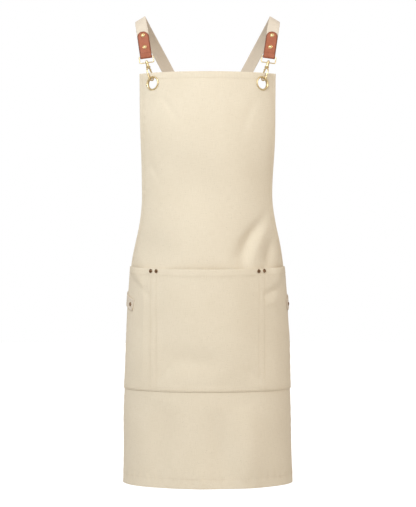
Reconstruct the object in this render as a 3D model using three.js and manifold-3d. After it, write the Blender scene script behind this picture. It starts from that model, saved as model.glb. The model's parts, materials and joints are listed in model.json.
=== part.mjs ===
// Cross back apron: a canvas bib apron with a pocket panel across the whole front and two webbing straps
// that cross at the back. Leather tabs and swivel snap hooks clip the straps into brass eyelets on the bib.
// Millimetres, +Z up. The front faces -Y, and left and right are those of someone who looks at the front.
// The origin lies midway between the two shoulder crests of the straps.
import * as THREE from "three";
import { mergeVertices } from "three/addons/utils/BufferGeometryUtils.js";
import Module from "manifold-3d";

// Sizes of the canvas
const APRON_LENGTH = 864;
const BIB_WIDTH = 314;
const FULL_WIDTH = 490;
const BIB_DROP = 120;
const ARMHOLE_START = 250;
const ARMHOLE_DEPTH = 205;
const CLOTH = 1.6;
const HEM_EXTRA = 1;
const TOP_HEM = 15;
const SIDE_HEM = 12;
const BOTTOM_HEM = 22;
const HEM_STEP = 4;

// Sizes of the wearer's torso that the canvas is wrapped round
const TORSO_HALF_WIDTH = 180;
const TORSO_DEPTH = 120;

// Sizes of the pocket panel
const POCKET_TOP = 411;
const POCKET_HEIGHT = 253;
const POCKET_RISE = 6;
const POCKET_GAPE = 13;
const SIDE_GAPE = 10;
const POCKET_HEM_EXTRA = 0.6;
const POCKET_HEM = 15;
const SEAM_RUN = 117;
const SEAM_WIDTH = 14;
const SEAM_MARGIN = 9;
const BOTTOM_SEAM = 14;

// Sizes of the straps
const STRAP_WIDTH = 25;
const STRAP_THICKNESS = 2;
const SHOULDER_HALF = 143;
const BACK_DEPTH = 112;
const STRAP_DROP = 605;
const CROSSING_BUMP = 3.4;
const STRAP_END_SLOPE = 24;
const STRAP_END_RUN = { left: 178, right: 204 };

// Sizes of the leather tabs
const TAB_LENGTH = 61;
const TAB_WIDTH = 25;
const LEATHER = 2;
const TAB_RIVET_UPPER = 9;
const TAB_RIVET_LOWER = 36;
const TAB_TOP = { across: 137.2, front: 46, down: 31.3 };
const TAB_LEAN = { inward: 8.8, forward: 17.7 };

// Sizes of the rectangular loops
const LOOP_INSIDE = 27;
const LOOP_BAR = 2.4;
const LOOP_THICKNESS = 2;
const LOOP_PITCH = 14.4;

// Sizes of the snap hooks
const WIRE_RADIUS = 1.6;
const BEND_RADIUS = 7;
const BARREL_RADIUS = 3.2;
const BARREL_LOW = -9;
const SPINE_TOP = -19;
const STEM_RADIUS = 1.5;
const STEM_HEAD_RADIUS = 2.7;
const BOSS_RADIUS = 3;
const BOSS_HALF = 2.1;
const HOOK_TURN = 8;
const CHEEK_WIDTH = 5.2;
const GATE_WIDTH = 2.4;
const GATE_PIVOT = { y: 2.6, z: -10 };
const GATE_HUB = 1.9;
const GATE_HALF = 1.3;
const PIN_RADIUS = 0.7;
const NOSE_RISE = 3;
const NOSE_GAP = 0.9;
const THUMB_NUB = { out: 1.6, down: -4.6 };

// Sizes of the eyelets and rivets
const EYELET_RUN = 120;
const EYELET_DROP = 22.5;
const EYELET_BORE = 11.6;
const EYELET_TUBE = 12.9;
const EYELET_FLANGE = 15.2;
const EYELET_BACK_FLANGE = 14.8;
const EYELET_DEPTH = 1.5;
const BRASS_WALL = 1.3;
const HOOK_SEAT_ANGLE = 30;
const HOOK_SLACK = 2.1;
const HOOK_SET_BACK = 0.8;
const SIDE_RIVET_INSET = 9;
const POCKET_RIVET_DROP = 5.5;
const CLOTH_RIVET = { radius: 4, shank: 1.4, dome: 1.9 };
const TAB_RIVET = { radius: 4.3, shank: 1.6, dome: 2.1 };
const RIVET_FOOT = 1;
const RIVET_SIDES = 10;
const EYELET_SIDES = 20;

// Clearances
const GAP = 0.3;
const SEAM_GAP = 0.5;
const CUT_REACH = 8;
const TAIL_SPACE = 6;

// The torso's cross sections down the front, as shares of the named sizes.
const SECTIONS = [
  { down: 0, wide: 0.917, deep: 0.867 },
  { down: 0.15, wide: 0.922, deep: 0.983 },
  { down: 0.3, wide: 0.85, deep: 0.95 },
  { down: 0.42, wide: 0.883, deep: 0.967 },
  { down: 0.48, wide: 0.908, deep: 0.992 },
  { down: 0.56, wide: 0.937, deep: 1.008 },
  { down: 0.77, wide: 0.979, deep: 1.033 },
  { down: 1, wide: 1.003, deep: 1.042 },
];

// Folds of the canvas: start, middle and end of each line, with the run across as a share of half the full
// width and the way down as a share of the length. High is out of the cloth, and wide is half the fold's width.
const FOLDS = [
  { name: "arm valley", r0: 0.49, d0: 0.362, r1: 0.29, d1: 0.407, r2: 0.25, d2: 0.478, wide: 15, high: -7 },
  { name: "arm ridge", r0: 0.53, d0: 0.376, r1: 0.42, d1: 0.42, r2: 0.385, d2: 0.49, wide: 16, high: 9 },
  { name: "arm dip", r0: 0.62, d0: 0.4, r1: 0.58, d1: 0.44, r2: 0.55, d2: 0.49, wide: 15, high: -5 },
  { name: "bib drag", r0: -0.5, d0: 0.14, r1: -0.16, d1: 0.27, r2: 0.24, d2: 0.35, wide: 46, high: -4 },
  { name: "left drag", r0: -0.54, d0: 0.38, r1: -0.42, d1: 0.43, r2: -0.37, d2: 0.475, wide: 22, high: -3 },
  { name: "pocket sag", r0: -0.42, d0: 0.69, r1: -0.12, d1: 0.698, r2: 0.19, d2: 0.692, wide: 22, high: -3.5 },
  { name: "pocket crease", r0: 0.48, d0: 0.539, r1: 0.6, d1: 0.531, r2: 0.71, d2: 0.516, wide: 8, high: -3 },
  { name: "skirt valley", r0: 0.06, d0: 0.81, r1: 0.12, d1: 0.91, r2: 0.17, d2: 1.04, wide: 24, high: -6 },
  { name: "skirt ridge", r0: 0.3, d0: 0.8, r1: 0.36, d1: 0.9, r2: 0.4, d2: 1.04, wide: 30, high: 6 },
  { name: "left skirt fold", r0: -0.36, d0: 0.79, r1: -0.41, d1: 0.9, r2: -0.44, d2: 1.04, wide: 28, high: -5 },
];
const FOLD_STEPS = 8;

// The route of the webbing from the top of the leather tab to the back of the opposite side, for a strap
// that starts on the positive side. The columns are shares of SHOULDER_HALF, BACK_DEPTH and STRAP_DROP, and
// the way that the outer face looks, in degrees: its heading from the front to the start side, and its lift.
const ROUTE = [
  { name: "collar bone", across: 0.985, depth: -0.27, drop: 0.021, heading: 20, lift: 42 },
  { name: "crest front", across: 1, depth: -0.054, drop: 0, heading: 90, lift: 59 },
  { name: "crest back", across: 1, depth: 0.054, drop: 0, heading: 90, lift: 59 },
  { name: "shoulder", across: 0.935, depth: 0.36, drop: 0.026, heading: 150, lift: 50 },
  { name: "shoulder blade", across: 0.815, depth: 0.66, drop: 0.075, heading: 166, lift: 32 },
  { name: "upper back", across: 0.6, depth: 0.88, drop: 0.167, heading: 172, lift: 12 },
  { name: "crossing", across: 0, depth: 1, drop: 0.43, heading: 180, lift: 0 },
  { name: "small of the back", across: -0.58, depth: 0.9, drop: 0.7, heading: 206, lift: 0 },
  { name: "waist", across: -0.95, depth: 0.61, drop: 0.855, heading: 232, lift: 0 },
];
const ROUTE_STEPS = 5;
const CROSSING_ROW = ROUTE.findIndex((row) => row.name === "crossing");

const radians = THREE.MathUtils.degToRad;
const HALF_BIB = BIB_WIDTH / 2;
const HALF_FULL = FULL_WIDTH / 2;
const SIDE_CORNER = ARMHOLE_START + ARMHOLE_DEPTH;
const POCKET_BOTTOM = POCKET_TOP + POCKET_HEIGHT;
const EYELET_BACK = -CLOTH - HEM_EXTRA - EYELET_DEPTH;
const STRAP_LIFT = SEAM_GAP + CLOTH + 3 * GAP + STRAP_THICKNESS / 2;

const wasm = await Module();
wasm.setup();

// Joins and cuts

function toManifold(geometry) {
  const bare = geometry.clone();
  bare.deleteAttribute("normal");
  bare.deleteAttribute("uv");
  const merged = mergeVertices(bare, 1e-4);
  return new wasm.Manifold(
    new wasm.Mesh({
      numProp: 3,
      vertProperties: merged.attributes.position.array,
      triVerts: new Uint32Array(merged.index.array),
    }),
  );
}

function toGeometry(manifold) {
  const mesh = manifold.getMesh();
  const geometry = new THREE.BufferGeometry();
  geometry.setAttribute("position", new THREE.BufferAttribute(new Float32Array(mesh.vertProperties), 3));
  geometry.setIndex(new THREE.BufferAttribute(new Uint32Array(mesh.triVerts), 1));
  geometry.computeVertexNormals();
  return geometry;
}

function cut(geometry, ...tools) {
  return toGeometry(tools.reduce((left, tool) => left.subtract(toManifold(tool)), toManifold(geometry)));
}

function join(first, ...others) {
  return toGeometry(others.reduce((sum, other) => sum.add(toManifold(other)), toManifold(first)));
}

function overlapOf(first, second) {
  return toGeometry(toManifold(first).intersect(toManifold(second)));
}

// A turned piece about +Z, from its profile of [radius, height] pairs.
function turned(profile, sides) {
  const points = profile.map(([radius, height]) => new THREE.Vector2(radius, height));
  return new THREE.LatheGeometry(points, sides).rotateX(Math.PI / 2);
}

function post(radius, low, high, sides) {
  const profile = [
    [0, low],
    [radius, low],
    [radius, high],
    [0, high],
  ];
  return turned(profile, sides);
}

// A flat plate across X, whose outline is given in Y and Z.
function plate(shape, thickness, curveSegments) {
  const options = { depth: thickness, bevelEnabled: false, curveSegments };
  const geometry = new THREE.ExtrudeGeometry(shape, options).translate(0, 0, -thickness / 2);
  const basis = new THREE.Matrix4().makeBasis(
    new THREE.Vector3(0, 1, 0),
    new THREE.Vector3(0, 0, 1),
    new THREE.Vector3(1, 0, 0),
  );
  return geometry.applyMatrix4(basis);
}

// A place with its X, Y and Z axes.
function place(origin, xAxis, yAxis, zAxis) {
  return new THREE.Matrix4().makeBasis(xAxis, yAxis, zAxis).setPosition(origin);
}

// The canvas as it hangs

function smoothRow(table, key, at) {
  let i = 0;
  while (i < table.length - 2 && at > table[i + 1].down) i++;
  const before = table[Math.max(i - 1, 0)];
  const low = table[i];
  const high = table[i + 1];
  const after = table[Math.min(i + 2, table.length - 1)];
  const span = high.down - low.down;
  const slopeLow = (high[key] - before[key]) / (high.down - before.down);
  const slopeHigh = (after[key] - low[key]) / (after.down - low.down);
  const t = THREE.MathUtils.clamp((at - low.down) / span, 0, 1);
  const held = low[key] * (1 + 2 * t) * (1 - t) ** 2 + high[key] * t * t * (3 - 2 * t);
  return held + span * (slopeLow * t * (1 - t) ** 2 + slopeHigh * t * t * (t - 1));
}

// The turn round an ellipse, from its front, at which its arc is as long as the run of cloth.
function turnFor(run, wide, deep) {
  const steps = 40;
  let turn = 0;
  for (let i = 0; i < steps; i++) {
    const rate = Math.hypot(wide * Math.cos(turn), deep * Math.sin(turn));
    const middle = turn + run / steps / rate / 2;
    turn += run / steps / Math.hypot(wide * Math.cos(middle), deep * Math.sin(middle));
  }
  return turn;
}

function halfRun(drop) {
  const share = THREE.MathUtils.clamp((drop - ARMHOLE_START) / ARMHOLE_DEPTH, 0, 1);
  return HALF_BIB + (HALF_FULL - HALF_BIB) * (1 - Math.cos((share * Math.PI) / 2));
}

const FOLD_LINES = FOLDS.map((fold) => {
  const start = new THREE.Vector2(fold.r0 * HALF_FULL, fold.d0 * APRON_LENGTH);
  const middle = new THREE.Vector2(fold.r1 * HALF_FULL, fold.d1 * APRON_LENGTH);
  const end = new THREE.Vector2(fold.r2 * HALF_FULL, fold.d2 * APRON_LENGTH);
  return { ...fold, line: new THREE.QuadraticBezierCurve(start, middle, end).getPoints(FOLD_STEPS) };
});

function foldHeight(run, drop) {
  const here = new THREE.Vector2(run, drop);
  let height = 0;
  for (const fold of FOLD_LINES) {
    let nearest = Infinity;
    let along = 0;
    for (let i = 0; i < FOLD_STEPS; i++) {
      const from = fold.line[i];
      const way = fold.line[i + 1].clone().sub(from);
      const t = THREE.MathUtils.clamp(here.clone().sub(from).dot(way) / way.lengthSq(), 0, 1);
      const far = here.distanceTo(way.multiplyScalar(t).add(from));
      if (far < nearest) {
        nearest = far;
        along = (i + t) / FOLD_STEPS;
      }
    }
    height += fold.high * Math.exp(-((nearest / fold.wide) ** 2)) * Math.sin(Math.PI * along);
  }
  return height;
}

// A place on the canvas: its point, lifted off the outer face, and the outward normal.
function onCloth(run, drop, lift) {
  const wide = TORSO_HALF_WIDTH * smoothRow(SECTIONS, "wide", drop / APRON_LENGTH);
  const deep = TORSO_DEPTH * smoothRow(SECTIONS, "deep", drop / APRON_LENGTH);
  const turn = turnFor(run, wide, deep);
  const normal = new THREE.Vector3(deep * Math.sin(turn), -wide * Math.cos(turn), 0).normalize();
  const point = new THREE.Vector3(wide * Math.sin(turn), -deep * Math.cos(turn), -BIB_DROP - drop);
  return { point: point.addScaledVector(normal, lift + foldHeight(run, drop)), normal };
}

// The matrix of a fitting on the canvas, folds included: its Z looks out of the cloth and its Y looks up.
function clothPlace(run, drop, lift) {
  const step = 4;
  const at = (r, d) => onCloth(run + r, drop + d, 0).point;
  const across = at(step, 0).sub(at(-step, 0)).normalize();
  const down = at(0, step).sub(at(0, -step));
  const normal = down.cross(across).normalize();
  const up = new THREE.Vector3().crossVectors(normal, across);
  return place(at(0, 0).addScaledVector(normal, lift), across, up, normal);
}

// A closed sheet between two grids of points, each a function of the row and column.
function slab(rows, columns, outer, inner) {
  const positions = [];
  for (const side of [outer, inner])
    for (let i = 0; i < rows; i++)
      for (let j = 0; j < columns; j++) positions.push(...side(i, j).toArray());
  const front = (i, j) => i * columns + j;
  const back = (i, j) => rows * columns + i * columns + j;
  const faces = [];
  const quad = (a, b, c, d) => faces.push(a, b, c, a, c, d);
  for (let i = 0; i < rows - 1; i++)
    for (let j = 0; j < columns - 1; j++) {
      quad(front(i, j), front(i + 1, j), front(i + 1, j + 1), front(i, j + 1));
      quad(back(i, j), back(i, j + 1), back(i + 1, j + 1), back(i + 1, j));
    }
  for (let i = 0; i < rows - 1; i++) {
    quad(front(i, 0), back(i, 0), back(i + 1, 0), front(i + 1, 0));
    quad(front(i, columns - 1), front(i + 1, columns - 1), back(i + 1, columns - 1), back(i, columns - 1));
  }
  for (let j = 0; j < columns - 1; j++) {
    quad(front(0, j), front(0, j + 1), back(0, j + 1), back(0, j));
    quad(front(rows - 1, j), back(rows - 1, j), back(rows - 1, j + 1), front(rows - 1, j + 1));
  }
  const geometry = new THREE.BufferGeometry();
  geometry.setAttribute("position", new THREE.Float32BufferAttribute(positions, 3));
  geometry.setIndex(faces);
  geometry.computeVertexNormals();
  return geometry;
}

function evenSteps(from, to, count) {
  return Array.from({ length: count + 1 }, (_, i) => from + ((to - from) * i) / count);
}

// Columns of the panel and the pocket, which share them: the side hems keep their width on every row.
const INNER_COLUMNS = 18;
const COLUMNS = INNER_COLUMNS + 5;
function runAt(column, half) {
  const flat = half - SIDE_HEM - HEM_STEP;
  if (column === 0) return -half;
  if (column === 1) return -half + SIDE_HEM;
  if (column === COLUMNS - 2) return half - SIDE_HEM;
  if (column === COLUMNS - 1) return half;
  return (flat * (2 * (column - 2))) / INNER_COLUMNS - flat;
}
const inSideHem = (column) => column < 2 || column > COLUMNS - 3;

// A place of the grid, from its row's drop on the centre line. Rows near the pocket's top rise to the sides.
function gridPlace(drop, column) {
  const edge = (2 * column) / (COLUMNS - 1) - 1;
  const above = (drop - ARMHOLE_START) / (POCKET_TOP - ARMHOLE_START);
  const below = (POCKET_BOTTOM - drop) / POCKET_HEIGHT;
  const fade = THREE.MathUtils.clamp(Math.min(above, below), 0, 1);
  const warped = drop - POCKET_RISE * edge * edge * fade;
  return { run: runAt(column, halfRun(warped)), drop: warped };
}

const POCKET_DROPS = [
  POCKET_TOP,
  POCKET_TOP + POCKET_HEM,
  POCKET_TOP + POCKET_HEM + HEM_STEP,
  ...evenSteps(SIDE_CORNER, POCKET_BOTTOM - BOTTOM_SEAM, 6),
  POCKET_BOTTOM,
];

// Apron panel: bib and skirt in one piece, with hems turned to the inside

function apronPanel() {
  const drops = [
    0,
    TOP_HEM,
    ...evenSteps(TOP_HEM + HEM_STEP, ARMHOLE_START, 6),
    ...evenSteps(ARMHOLE_START, POCKET_TOP, 7).slice(1, -1),
    ...POCKET_DROPS,
    ...evenSteps(POCKET_BOTTOM, APRON_LENGTH - BOTTOM_HEM - HEM_STEP, 5).slice(1),
    APRON_LENGTH - BOTTOM_HEM,
    APRON_LENGTH,
  ];
  const last = drops.length - 1;
  const inHem = (i, j) => inSideHem(j) || i < 2 || i > last - 2;
  const at = (i, j, lift) => {
    const { run, drop } = gridPlace(drops[i], j);
    return onCloth(run, drop, lift).point;
  };
  return slab(
    drops.length,
    COLUMNS,
    (i, j) => at(i, j, 0),
    (i, j) => at(i, j, inHem(i, j) ? -CLOTH - HEM_EXTRA : -CLOTH),
  );
}

// Pocket panel: sewn down at its bottom, its sides and two double seams, and gaping a little between them.
// The strap's end holds each side flat.

function pocketLift(run, drop) {
  const side = Math.abs(run);
  const down = THREE.MathUtils.clamp((drop - POCKET_TOP) / (POCKET_HEIGHT - BOTTOM_SEAM), 0, 1);
  const fade = Math.cos((down * Math.PI) / 2) ** 0.7;
  const inner = SEAM_RUN - SEAM_WIDTH / 2 - SEAM_MARGIN;
  if (side <= inner) return SEAM_GAP + POCKET_GAPE * fade * Math.cos(((side / inner) * Math.PI) / 2);
  const outer = SEAM_RUN + SEAM_WIDTH / 2 + SEAM_MARGIN;
  const strapEnd = STRAP_END_RUN[run < 0 ? "left" : "right"] - STRAP_WIDTH;
  const pull = THREE.MathUtils.smoothstep(drop, POCKET_TOP, SIDE_CORNER);
  const held = THREE.MathUtils.lerp(halfRun(drop) - SIDE_HEM, strapEnd, pull);
  if (side <= outer || side >= held) return SEAM_GAP;
  const share = (side - outer) / (held - outer);
  return SEAM_GAP + SIDE_GAPE * fade * Math.sin(share * Math.PI);
}

function pocketPanel() {
  const point = (i, j, extra) => {
    const { run, drop } = gridPlace(POCKET_DROPS[i], j);
    return onCloth(run, drop, pocketLift(run, drop) + extra).point;
  };
  const thickness = (i) => (i < 2 ? CLOTH + POCKET_HEM_EXTRA : CLOTH);
  return slab(
    POCKET_DROPS.length,
    COLUMNS,
    (i, j) => point(i, j, thickness(i)),
    (i, j) => point(i, j, 0),
  );
}

// Webbing straps

function directionOf(heading, lift, side) {
  const flat = Math.cos(radians(lift));
  const turn = radians(heading);
  return new THREE.Vector3(side * Math.sin(turn) * flat, -Math.cos(turn) * flat, Math.sin(radians(lift)));
}

// The frame of a leather tab: its origin on the middle of the webbing at the tab's top end, Y up along the
// strap and Z out of its face.
function tabFrame(side) {
  const top = new THREE.Vector3(side * TAB_TOP.across, -TAB_TOP.front, -TAB_TOP.down);
  const down = Math.sqrt(TAB_LENGTH ** 2 - TAB_LEAN.inward ** 2 - TAB_LEAN.forward ** 2);
  const along = new THREE.Vector3(side * TAB_LEAN.inward, TAB_LEAN.forward, down).normalize();
  const across = new THREE.Vector3(1, 0, 0).addScaledVector(along, -along.x).normalize();
  return place(top, across, along, new THREE.Vector3().crossVectors(across, along));
}

// Stations of a strap: the middle of the webbing, the way its outer face looks and its travel.
function strapStations(side) {
  const frame = tabFrame(side);
  const xAxis = new THREE.Vector3();
  const tabUp = new THREE.Vector3();
  const tabOut = new THREE.Vector3();
  frame.extractBasis(xAxis, tabUp, tabOut);
  const tabTop = new THREE.Vector3().setFromMatrixPosition(frame);
  const webbingEnd = TAB_LENGTH - 2 * LEATHER - LOOP_BAR - TAIL_SPACE;
  const rows = [
    { point: tabTop.clone().addScaledVector(tabUp, -webbingEnd), face: tabOut },
    { point: tabTop.clone(), face: tabOut },
  ];
  ROUTE.forEach((row, i) => {
    const bump = i === CROSSING_ROW && side > 0 ? CROSSING_BUMP : 0;
    rows.push({
      point: new THREE.Vector3(
        side * row.across * SHOULDER_HALF,
        row.depth * BACK_DEPTH + bump,
        STRAP_THICKNESS / 2 - row.drop * STRAP_DROP,
      ),
      face: directionOf(row.heading, row.lift, side),
    });
  });
  const endSide = -side;
  const endRun = STRAP_END_RUN[endSide < 0 ? "left" : "right"];
  const endDrop = STRAP_DROP - BIB_DROP;
  const climb = Math.tan(radians(STRAP_END_SLOPE));
  for (const back of evenSteps(HALF_FULL + 8 - endRun, 0, 6)) {
    const run = endSide * (endRun + back);
    const seat = clothPlace(run, endDrop - (back - SIDE_RIVET_INSET) * climb, STRAP_LIFT);
    const face = new THREE.Vector3().setFromMatrixColumn(seat, 2);
    rows.push({ point: new THREE.Vector3().setFromMatrixPosition(seat), face });
  }
  const curve = new THREE.CatmullRomCurve3(rows.map((row) => row.point));
  const crestFront = 2 + ROUTE.findIndex((row) => row.name === "crest front");
  const onRoute = 2 + ROUTE.length;
  const stations = [];
  for (let i = 0; i < rows.length - 1; i++) {
    const steps = i === 0 || i === crestFront ? 1 : i < onRoute ? ROUTE_STEPS : 1;
    for (let k = 0; k < steps; k++) {
      const t = k / steps;
      stations.push({
        point: k ? curve.getPoint((i + t) / (rows.length - 1)) : rows[i].point,
        face: rows[i].face.clone().lerp(rows[i + 1].face, t).normalize(),
        crest: k === 0 && (i === crestFront || i === crestFront + 1),
      });
    }
  }
  stations.push({ ...rows.at(-1), crest: false });
  const crest = rows[crestFront + 1].point.clone().sub(rows[crestFront].point);
  stations.forEach((station, i) => {
    const before = stations[Math.max(i - 1, 0)].point;
    const after = stations[Math.min(i + 1, stations.length - 1)].point;
    station.travel = (station.crest ? crest : after.clone().sub(before)).normalize();
  });
  return stations;
}

// A strap is a flat band whose outer face looks the way that its stations say.
function strap(side) {
  const stations = strapStations(side);
  const point = (i, j, lift) => {
    const { point: middle, face, travel } = stations[i];
    const across = new THREE.Vector3().crossVectors(face, travel).normalize();
    const out = new THREE.Vector3().crossVectors(travel, across);
    return middle
      .clone()
      .addScaledVector(across, (j - 0.5) * STRAP_WIDTH)
      .addScaledVector(out, lift);
  };
  return slab(
    stations.length,
    2,
    (i, j) => point(i, j, STRAP_THICKNESS / 2),
    (i, j) => point(i, j, -STRAP_THICKNESS / 2),
  );
}

// Leather tabs, folded round the loop's upper bar, in the tab's own frame

const PLY_INNER = STRAP_THICKNESS / 2 + GAP;
const FOLD_CENTRE = -TAB_LENGTH + LEATHER + PLY_INNER;
const BAR_HEIGHT = FOLD_CENTRE + LOOP_BAR / 2;

function leatherTab() {
  const side = new THREE.Shape();
  const outer = PLY_INNER + LEATHER;
  side.moveTo(0, outer);
  side.lineTo(FOLD_CENTRE, outer);
  side.absarc(FOLD_CENTRE, 0, outer, Math.PI / 2, (3 * Math.PI) / 2, false);
  side.lineTo(0, -outer);
  side.lineTo(0, -PLY_INNER);
  side.lineTo(FOLD_CENTRE, -PLY_INNER);
  side.absarc(FOLD_CENTRE, 0, PLY_INNER, (3 * Math.PI) / 2, Math.PI / 2, true);
  side.lineTo(0, PLY_INNER);
  side.closePath();
  const half = TAB_WIDTH / 2;
  const outline = new THREE.Shape();
  const low = -TAB_LENGTH - 1;
  outline.moveTo(-half, low);
  outline.lineTo(half, low);
  outline.lineTo(half, -half);
  outline.absarc(0, -half, half, 0, Math.PI, false);
  outline.closePath();
  const depth = 4 * outer;
  const options = { depth, bevelEnabled: false, curveSegments: 8 };
  const face = new THREE.ExtrudeGeometry(outline, options).translate(0, 0, -depth / 2);
  return overlapOf(plate(side, TAB_WIDTH + 2, 6), face);
}

// The profile of a rivet whose head lies at the height high and whose foot lies at low.
function rivetProfile({ radius, shank, dome }, high, low) {
  return [
    [0, low - RIVET_FOOT],
    [radius * 0.8, low - RIVET_FOOT],
    [radius * 0.9, low],
    [shank, low],
    [shank, high],
    [radius, high],
    [radius, high + dome * 0.35],
    [radius * 0.72, high + dome * 0.8],
    [0, high + dome],
  ];
}

// Rectangular loops: a rounded frame with a boss for the swivel on its lower bar, in the tab's frame

function roundedRectangle(shape, width, height, corner) {
  const x = width / 2;
  const y = height / 2;
  shape.moveTo(x, -y + corner);
  shape.lineTo(x, y - corner);
  shape.absarc(x - corner, y - corner, corner, 0, Math.PI / 2, false);
  shape.lineTo(-x + corner, y);
  shape.absarc(-x + corner, y - corner, corner, Math.PI / 2, Math.PI, false);
  shape.lineTo(-x, -y + corner);
  shape.absarc(-x + corner, -y + corner, corner, Math.PI, 1.5 * Math.PI, false);
  shape.lineTo(x - corner, -y);
  shape.absarc(x - corner, -y + corner, corner, 1.5 * Math.PI, 2 * Math.PI, false);
  return shape;
}

function loopFrame() {
  const width = LOOP_INSIDE + 2 * LOOP_BAR;
  const height = LOOP_PITCH + LOOP_BAR;
  const bevel = 0.5;
  const outline = roundedRectangle(new THREE.Shape(), width - 2 * bevel, height - 2 * bevel, 2.6);
  const inside = LOOP_BAR - bevel;
  outline.holes.push(
    roundedRectangle(new THREE.Path(), width - 2 * inside, height - 2 * inside, 1.2),
  );
  const options = {
    depth: LOOP_THICKNESS - 2 * bevel,
    bevelEnabled: true,
    bevelSize: bevel,
    bevelThickness: bevel,
    bevelSegments: 1,
    curveSegments: 2,
  };
  const centre = BAR_HEIGHT - LOOP_PITCH / 2;
  return new THREE.ExtrudeGeometry(outline, options).translate(0, centre, -options.depth / 2);
}

// The snap hook's frame: origin on the loop's lower bar, Z up along the stem, Y from the spine to the gate.
function hookFrame(side) {
  const bar = new THREE.Vector3(0, BAR_HEIGHT - LOOP_PITCH, 0).applyMatrix4(tabFrame(side));
  const seat = new THREE.Vector3(
    side * Math.sin(radians(HOOK_SEAT_ANGLE)),
    Math.cos(radians(HOOK_SEAT_ANGLE)),
    0,
  ).multiplyScalar(EYELET_BORE - WIRE_RADIUS - HOOK_SLACK);
  const eyelet = clothPlace(side * EYELET_RUN, EYELET_DROP, EYELET_BACK / 2 - HOOK_SET_BACK);
  const bend = seat.applyMatrix4(eyelet);
  const axis = bar.clone().sub(bend);
  const reach = axis.length();
  axis.normalize();
  const { normal } = onCloth(side * EYELET_RUN, EYELET_DROP, 0);
  const gateSide = normal.negate().applyAxisAngle(axis, side * radians(HOOK_TURN));
  gateSide.addScaledVector(axis, -gateSide.dot(axis)).normalize();
  const across = new THREE.Vector3().crossVectors(gateSide, axis);
  return { matrix: place(bar, across, gateSide, axis), reach };
}

// The wire of the hook: from the shoulder down the spine, round the bend and up to the nose.
function hookWire(reach) {
  const centre = -reach + BEND_RADIUS;
  const path = new THREE.CurvePath();
  const v = (y, z) => new THREE.Vector3(0, y, z);
  const spineTop = v(-BEND_RADIUS, SPINE_TOP);
  path.add(new THREE.CubicBezierCurve3(v(-0.6, -7.5), v(-3.2, -11), v(-BEND_RADIUS, -13), spineTop));
  path.add(new THREE.LineCurve3(spineTop, v(-BEND_RADIUS, centre)));
  const quarters = 6;
  const arc = (i) => {
    const turn = Math.PI + (Math.PI * i) / quarters;
    return v(BEND_RADIUS * Math.cos(turn), centre + BEND_RADIUS * Math.sin(turn));
  };
  const bendPoints = Array.from({ length: quarters + 1 }, (_, i) => arc(i));
  path.add(new THREE.CatmullRomCurve3(bendPoints));
  path.add(new THREE.LineCurve3(v(BEND_RADIUS, centre), v(BEND_RADIUS, centre + NOSE_RISE)));
  const ring = new THREE.Shape().absarc(0, 0, WIRE_RADIUS, 0, 2 * Math.PI, false);
  const options = { steps: 24, bevelEnabled: false, extrudePath: path, curveSegments: 4 };
  return new THREE.ExtrudeGeometry(ring, options);
}

function hook(reach) {
  const seat = BOSS_HALF + GAP;
  const body = turned(
    [
      [0, BARREL_LOW],
      [BARREL_RADIUS - 1, BARREL_LOW],
      [BARREL_RADIUS, BARREL_LOW + 1],
      [BARREL_RADIUS, -seat],
      [STEM_RADIUS, -seat],
      [STEM_RADIUS, seat],
      [STEM_HEAD_RADIUS, seat],
      [STEM_HEAD_RADIUS, seat + 0.9],
      [STEM_HEAD_RADIUS * 0.6, seat + 1.8],
      [0, seat + 2],
    ],
    12,
  );
  const cheek = new THREE.Shape();
  cheek.moveTo(-2.4, -7.5);
  cheek.lineTo(-3, -11);
  cheek.lineTo(0, -13);
  cheek.lineTo(GATE_PIVOT.y + 1.6, GATE_PIVOT.z - 2);
  cheek.lineTo(GATE_PIVOT.y + 2, GATE_PIVOT.z + 0.6);
  cheek.lineTo(2.6, -7);
  cheek.closePath();
  const slot = new THREE.BoxGeometry(GATE_WIDTH + 2 * GAP, 8, 9);
  slot.translate(0, GATE_PIVOT.y + 1.8, GATE_PIVOT.z - 2);
  const pinHalf = CHEEK_WIDTH / 2 - 0.2;
  const pin = post(PIN_RADIUS, -pinHalf, pinHalf, 8).rotateY(Math.PI / 2);
  pin.translate(0, GATE_PIVOT.y, GATE_PIVOT.z);
  const wholeBody = join(body, plate(cheek, CHEEK_WIDTH, 1), hookWire(reach));
  return join(cut(wholeBody, slot), pin);
}

// The lever, from its pivot at the origin down to the nose, with a thumb nub on its outer side.
function gate(reach) {
  const tip = -reach + BEND_RADIUS + NOSE_RISE + NOSE_GAP - GATE_PIVOT.z;
  const end = BEND_RADIUS - GATE_PIVOT.y;
  const shape = new THREE.Shape();
  shape.moveTo(-GATE_HALF, -1.4);
  shape.lineTo(end - GATE_HALF, tip);
  shape.lineTo(end + GATE_HALF, tip);
  shape.lineTo(end + GATE_HALF, tip + 2.5);
  shape.lineTo(end + 0.2, THUMB_NUB.down - 1.9);
  shape.lineTo(end + THUMB_NUB.out, THUMB_NUB.down);
  shape.lineTo(end + THUMB_NUB.out - 0.4, THUMB_NUB.down + 1.6);
  shape.lineTo(GATE_HUB * 0.9, 0.6);
  shape.absarc(0, 0, GATE_HUB, 0.32, Math.PI + 0.5, false);
  shape.closePath();
  shape.holes.push(new THREE.Path().absarc(0, 0, PIN_RADIUS + GAP, 0, 2 * Math.PI, true));
  return plate(shape, GATE_WIDTH, 4);
}

function loop(side) {
  const frame = tabFrame(side);
  const { matrix } = hookFrame(side);
  const boss = post(BOSS_RADIUS, -BOSS_HALF, BOSS_HALF, 14).applyMatrix4(matrix);
  const bore = post(STEM_RADIUS + GAP, -BOSS_HALF - 1, BOSS_HALF + 1, 12).applyMatrix4(matrix);
  return cut(join(loopFrame().applyMatrix4(frame), boss), bore);
}

// Eyelets: a front flange, a tube through the cloth and a back flange

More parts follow.
